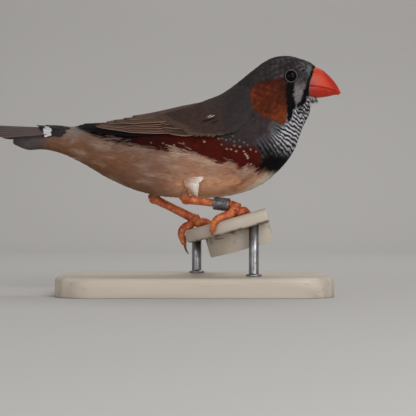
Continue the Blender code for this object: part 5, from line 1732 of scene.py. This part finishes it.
for side, knee, heel, joint, seed in (("right", RIGHT_KNEE, RIGHT_HEEL, RIGHT_JOINT, 61),
                                      ("left", LEFT_KNEE, LEFT_HEEL, LEFT_JOINT, 62)):
    draw = np.random.default_rng(seed)
    shin(side, knee, heel, draw)
    heel_wisps(side, knee, heel, joint, seed + 5, draw)
thigh_front()


# Leg ring
# A closed band of thin grey metal, duller in patches, with plain raised digits.
RING_PLACE = 0.755
RING_LENGTH = 4.8
RING_BORE = 1.6
RING_OUTSIDE = 2.0


def metal_material(name, tone, dull, roughness, direction):
    """Grey metal with fine scratches one way, and dull patches where it is handled."""
    material, tree, shader = new_material(name, roughness, Metallic=1.0)
    where = object_place(tree)
    lines = stretched(tree, where, direction)
    scratch, patch = noise_at(tree, lines, 1.0, 3.0), noise_at(tree, where, 500.0, 3.0)
    spread = smooth_between(tree, patch, 0.35, 0.7)
    tint(tree, shader, mixed(tree, spread, tone, dull))
    rough = math_node(tree, "MULTIPLY_ADD", scratch, 0.22, roughness - 0.08)
    tree.links.new(math_node(tree, "MULTIPLY_ADD", spread, 0.1, rough), shader.inputs["Roughness"])
    raise_surface(tree, shader, scratch, 0.3, 0.00003)
    return material


def leg_ring():
    """A rounded section carried round the shank's axis, and digits bent round it."""
    middle = RIGHT_HEEL + (RIGHT_JOINT - RIGHT_HEEL) * RING_PLACE
    axis = unit(RIGHT_JOINT - RIGHT_HEEL)
    side = unit(np.cross(axis, (0.0, 0.0, 1.0)))
    up = np.cross(side, axis)
    section = rounded([(RING_BORE, -RING_LENGTH / 2, 0.1), (RING_OUTSIDE, -RING_LENGTH / 2, 0.14),
                       (RING_OUTSIDE, RING_LENGTH / 2, 0.14), (RING_BORE, RING_LENGTH / 2, 0.1)], 6)
    turn = np.linspace(0, 2 * math.pi, 73)[:-1]
    out = side * np.cos(turn)[:, None] + up * np.sin(turn)[:, None]
    points = middle + out[:, None] * section[:, :1] + axis * section[:, 1:]
    faces = grid_faces(len(turn), len(section), closed=True, closed_rows=True)[:, [0, 3, 2, 1]]
    metal = metal_material("leg ring", paint(150, 151, 153), paint(112, 112, 114), 0.36,
                           (900.0, 900.0, 6000.0))
    wear(new_mesh("leg_ring", points, [faces]), metal, "leg_ring", "leg_ring")
    ink = new_material("ring ink", 0.7, Base_Color=(*paint(34, 34, 37), 1.0))[0]
    for text, along, turned in (("27", -1.1, 0.25), ("04", 1.1, 0.1), ("63", 0.0, -0.75), ("8", -1.5, 1.1)):
        curve = bpy.data.curves.new("digits", "FONT")
        curve.body, curve.size, curve.extrude = text, 1.9, 0.03
        curve.align_x = curve.align_y = "CENTER"
        flat = put_in_scene("digits", curve)
        ready = bpy.context.evaluated_depsgraph_get()
        made = bpy.data.meshes.new_from_object(flat.evaluated_get(ready))
        bpy.data.objects.remove(flat)
        co = np.empty(len(made.vertices) * 3, np.float32)
        made.vertices.foreach_get("co", co)
        co = co.reshape(-1, 3)
        # Along the band goes along its axis, and up round it from the side that faces right.
        front = unit(np.cross(up, axis))
        around = co[:, 1:2] / RING_OUTSIDE + turned
        out = -front * np.sign(front[1]) * np.cos(around) + up * np.sin(around)
        bent = middle + axis * (co[:, :1] + along) + out * (RING_OUTSIDE + co[:, 2:])
        made.vertices.foreach_set("co", (bent * MM).astype(np.float32).ravel())
        made.name = f"ring_digits_{text}"
        made.update()
        wear(made, ink, "leg_ring")


leg_ring()


# Display stand
# A plain limed oak base with a rounded top edge, and two short steel rods that hold the
# cut rim from below, each set in a turned collar.
BASE_SIZE = (84.0, 54.0, 6.0)
BASE_CORNER = 12.0
BASE_EDGE = 1.2
ROD_INSET = 3.6
ROD_RADIUS = 1.5
ROD_OUTWARDS = 1.15


def oak_material():
    """Limed oak: growth rings seen as long grain, darker pores and a thin white wax."""
    material, tree, shader = new_material("oak", 0.45, Coat_Weight=0.15, Coat_Roughness=0.3)
    where = object_place(tree)
    bent = stretched(tree, where, (6.0, 60.0, 60.0))
    drift = noise_at(tree, bent, 1.2, 3.0)
    grain_place = stretched(tree, where, (40.0, 700.0, 700.0))
    grain = noise_at(tree, grain_place, 1.0, 5.0, 0.6)
    waves = node(tree, "ShaderNodeTexWave", {"Vector": bent, "Scale": 1.4, "Distortion": 7.0, "Detail": 2.0,
                                             "Detail Scale": 1.2}, bands_direction="Y").outputs["Fac"]
    tone = mixed(tree, waves, paint(196, 184, 168), paint(214, 204, 190))
    tone = mixed(tree, math_node(tree, "MULTIPLY", drift, 0.5), tone, paint(204, 192, 176))
    pore = smooth_between(tree, grain, 0.58, 0.72)
    tint(tree, shader, mixed(tree, math_node(tree, "MULTIPLY", pore, 0.6), tone, paint(170, 152, 130)))
    raise_surface(tree, shader, grain, 0.25, 0.0001)
    return material


def stand_base():
    """Rounded rectangles from the floor up, drawn in round the top edge."""
    sx, sy, sz = BASE_SIZE
    edge = np.linspace(0, math.pi / 2, 7)
    rounding = zip(BASE_EDGE * (1 - np.cos(edge)), sz - BASE_EDGE * (1 - np.sin(edge)))
    levels = [(0.35, 0.0), (0.0, 0.35), *rounding]
    levels += [(BASE_EDGE + 8, sz), (BASE_EDGE + 18, sz)]
    points = []
    for shrink, z in levels:
        radius = max(BASE_CORNER - shrink, 0.5)
        ring = []
        for cx, cy, first in ((1, 1, 0), (-1, 1, 90), (-1, -1, 180), (1, -1, 270)):
            turn = np.radians(np.linspace(first, first + 90, 13))
            ring.append(np.stack([cx * (sx / 2 - shrink - radius) + radius * np.cos(turn),
                                  cy * (sy / 2 - shrink - radius) + radius * np.sin(turn),
                                  np.full(13, z)], axis=-1))
        points.append(np.concatenate(ring))
    points = np.array(points)
    mesh = new_mesh("stand_base", points, closed_faces(*points.shape[:2]))
    wear(mesh, oak_material(), "stand_base", "stand_base")


def stand_rod(name, a, metal):
    """A turned profile from the base up: a stepped collar, then the bare rod, cut to the
    slope of the lip's underside."""
    point, out = rim_line(a)
    top = point + out * ROD_OUTWARDS
    floor = BASE_SIZE[2]
    turn = np.linspace(0, 2 * math.pi, 49)[:-1]
    ring = np.stack([np.cos(turn), np.sin(turn)], axis=-1)
    profile = [(ROD_RADIUS + 0.9, 0.0), (ROD_RADIUS + 0.9, 0.5), (ROD_RADIUS + 0.75, 0.65),
               (ROD_RADIUS + 0.12, 0.75), (ROD_RADIUS, 0.9), (ROD_RADIUS, 2.0), (ROD_RADIUS, 6.0)]
    points = [np.stack([top[0] + r * ring[:, 0], top[1] + r * ring[:, 1], np.full(48, floor + h)], axis=-1)
              for r, h in profile]
    # The height where an upright line meets the lip's underside.
    under = point - RIM_UP * (LIP_HEIGHT + 0.05)
    last = points[-1].copy()
    last[:, 2] = under[2] - ((last[:, :2] - under[:2]) * RIM_UP[:2]).sum(axis=1) / RIM_UP[2]
    points = np.array([*points, last])
    wear(new_mesh(name, points, closed_faces(*points.shape[:2])), metal, "stand_rod", name)


stand_base()
steel = metal_material("stand rods", paint(168, 168, 170), paint(140, 140, 143), 0.3, (4000.0, 4000.0, 300.0))
stand_rod("stand_rod_back", ROD_INSET, steel)
stand_rod("stand_rod_front", RIM_END - ROD_INSET, steel)


# Studio
# A pale floor that curves up behind into a wall, soft light from large panels, one of
# them aimed at the wall, and a camera half a metre to the bird's right, as in the photo.
STAGE_WIDTH = 1600.0
STAGE_FRONT = -900.0
STAGE_BACK = 640.0
STAGE_CURVE = 160.0
STAGE_TOP = 900.0


def studio_sweep():
    """A profile that runs back along the floor, turns up a quarter circle and rises."""
    turn = np.linspace(0, math.pi / 2, 17)
    y = np.concatenate([[STAGE_FRONT], STAGE_BACK - STAGE_CURVE + STAGE_CURVE * np.sin(turn), [STAGE_BACK]])
    z = np.concatenate([[0.0], STAGE_CURVE * (1 - np.cos(turn)), [STAGE_TOP]])
    x = np.array([-STAGE_WIDTH / 2, STAGE_WIDTH / 2])
    points = np.stack(np.broadcast_arrays(x, y[:, None], z[:, None]), axis=-1)
    mesh = new_mesh("studio_sweep", points, [grid_faces(len(y), 2, closed=False)])
    material, tree, shader = new_material("studio paper", 0.9)
    where = object_place(tree)
    cloud = noise_at(tree, where, 3.0)
    tint(tree, shader, mixed(tree, cloud, paint(196, 194, 192), paint(204, 202, 199)))
    mesh.materials.append(material)
    sweep = put_in_scene("studio_sweep", mesh)


def soft_light(name, place, target, size, power):
    """A round panel that faces its target."""
    lamp = bpy.data.lights.new(name, "AREA")
    lamp.shape, lamp.size, lamp.energy = "DISK", size, power
    panel = put_in_scene(name, lamp)
    panel.location = place
    panel.rotation_euler = (Vector(target) - Vector(place)).to_track_quat("-Z", "Y").to_euler()


studio_sweep()
BIRD_MIDDLE = (0.0, 0.0, 0.045)
soft_light("key light", (0.3, -0.65, 0.42), BIRD_MIDDLE, 0.5, 2.4)
soft_light("fill light", (-0.4, -0.7, 0.12), BIRD_MIDDLE, 0.5, 1.15)
soft_light("low light", (0.2, -0.37, 0.012), (0.0, 0.0, 0.05), 0.16, 0.38)
soft_light("back light", (0.1, 0.35, 0.6), BIRD_MIDDLE, 0.5, 1.15)
soft_light("wall light", (0.0, 0.25, 0.8), (0.0, 0.64, 0.1), 0.4, 0.55)
world = bpy.data.worlds.new("studio air")
world.use_nodes = True
world.node_tree.nodes["Background"].inputs["Color"].default_value = (1.0, 0.97, 0.94, 1.0)
world.node_tree.nodes["Background"].inputs["Strength"].default_value = 0.23
bpy.context.scene.world = world
bpy.context.scene.view_settings.view_transform = "Standard"

PHOTO_WIDTH = 416
MM_PER_PIXEL = 0.31
CAMERA_AWAY = 500.0
CAMERA_X = 4.03
CAMERA_HEIGHT = 26.66
camera = bpy.data.cameras.new("camera")
camera.sensor_width = 36.0
camera.lens = camera.sensor_width * CAMERA_AWAY / (PHOTO_WIDTH * MM_PER_PIXEL)
camera.clip_start = 0.01
camera_stand = put_in_scene("camera", camera)
camera_stand.location = (CAMERA_X * MM, -CAMERA_AWAY * MM, CAMERA_HEIGHT * MM)
camera_stand.rotation_euler = (math.pi / 2, 0.0, 0.0)
bpy.context.scene.camera = camera_stand
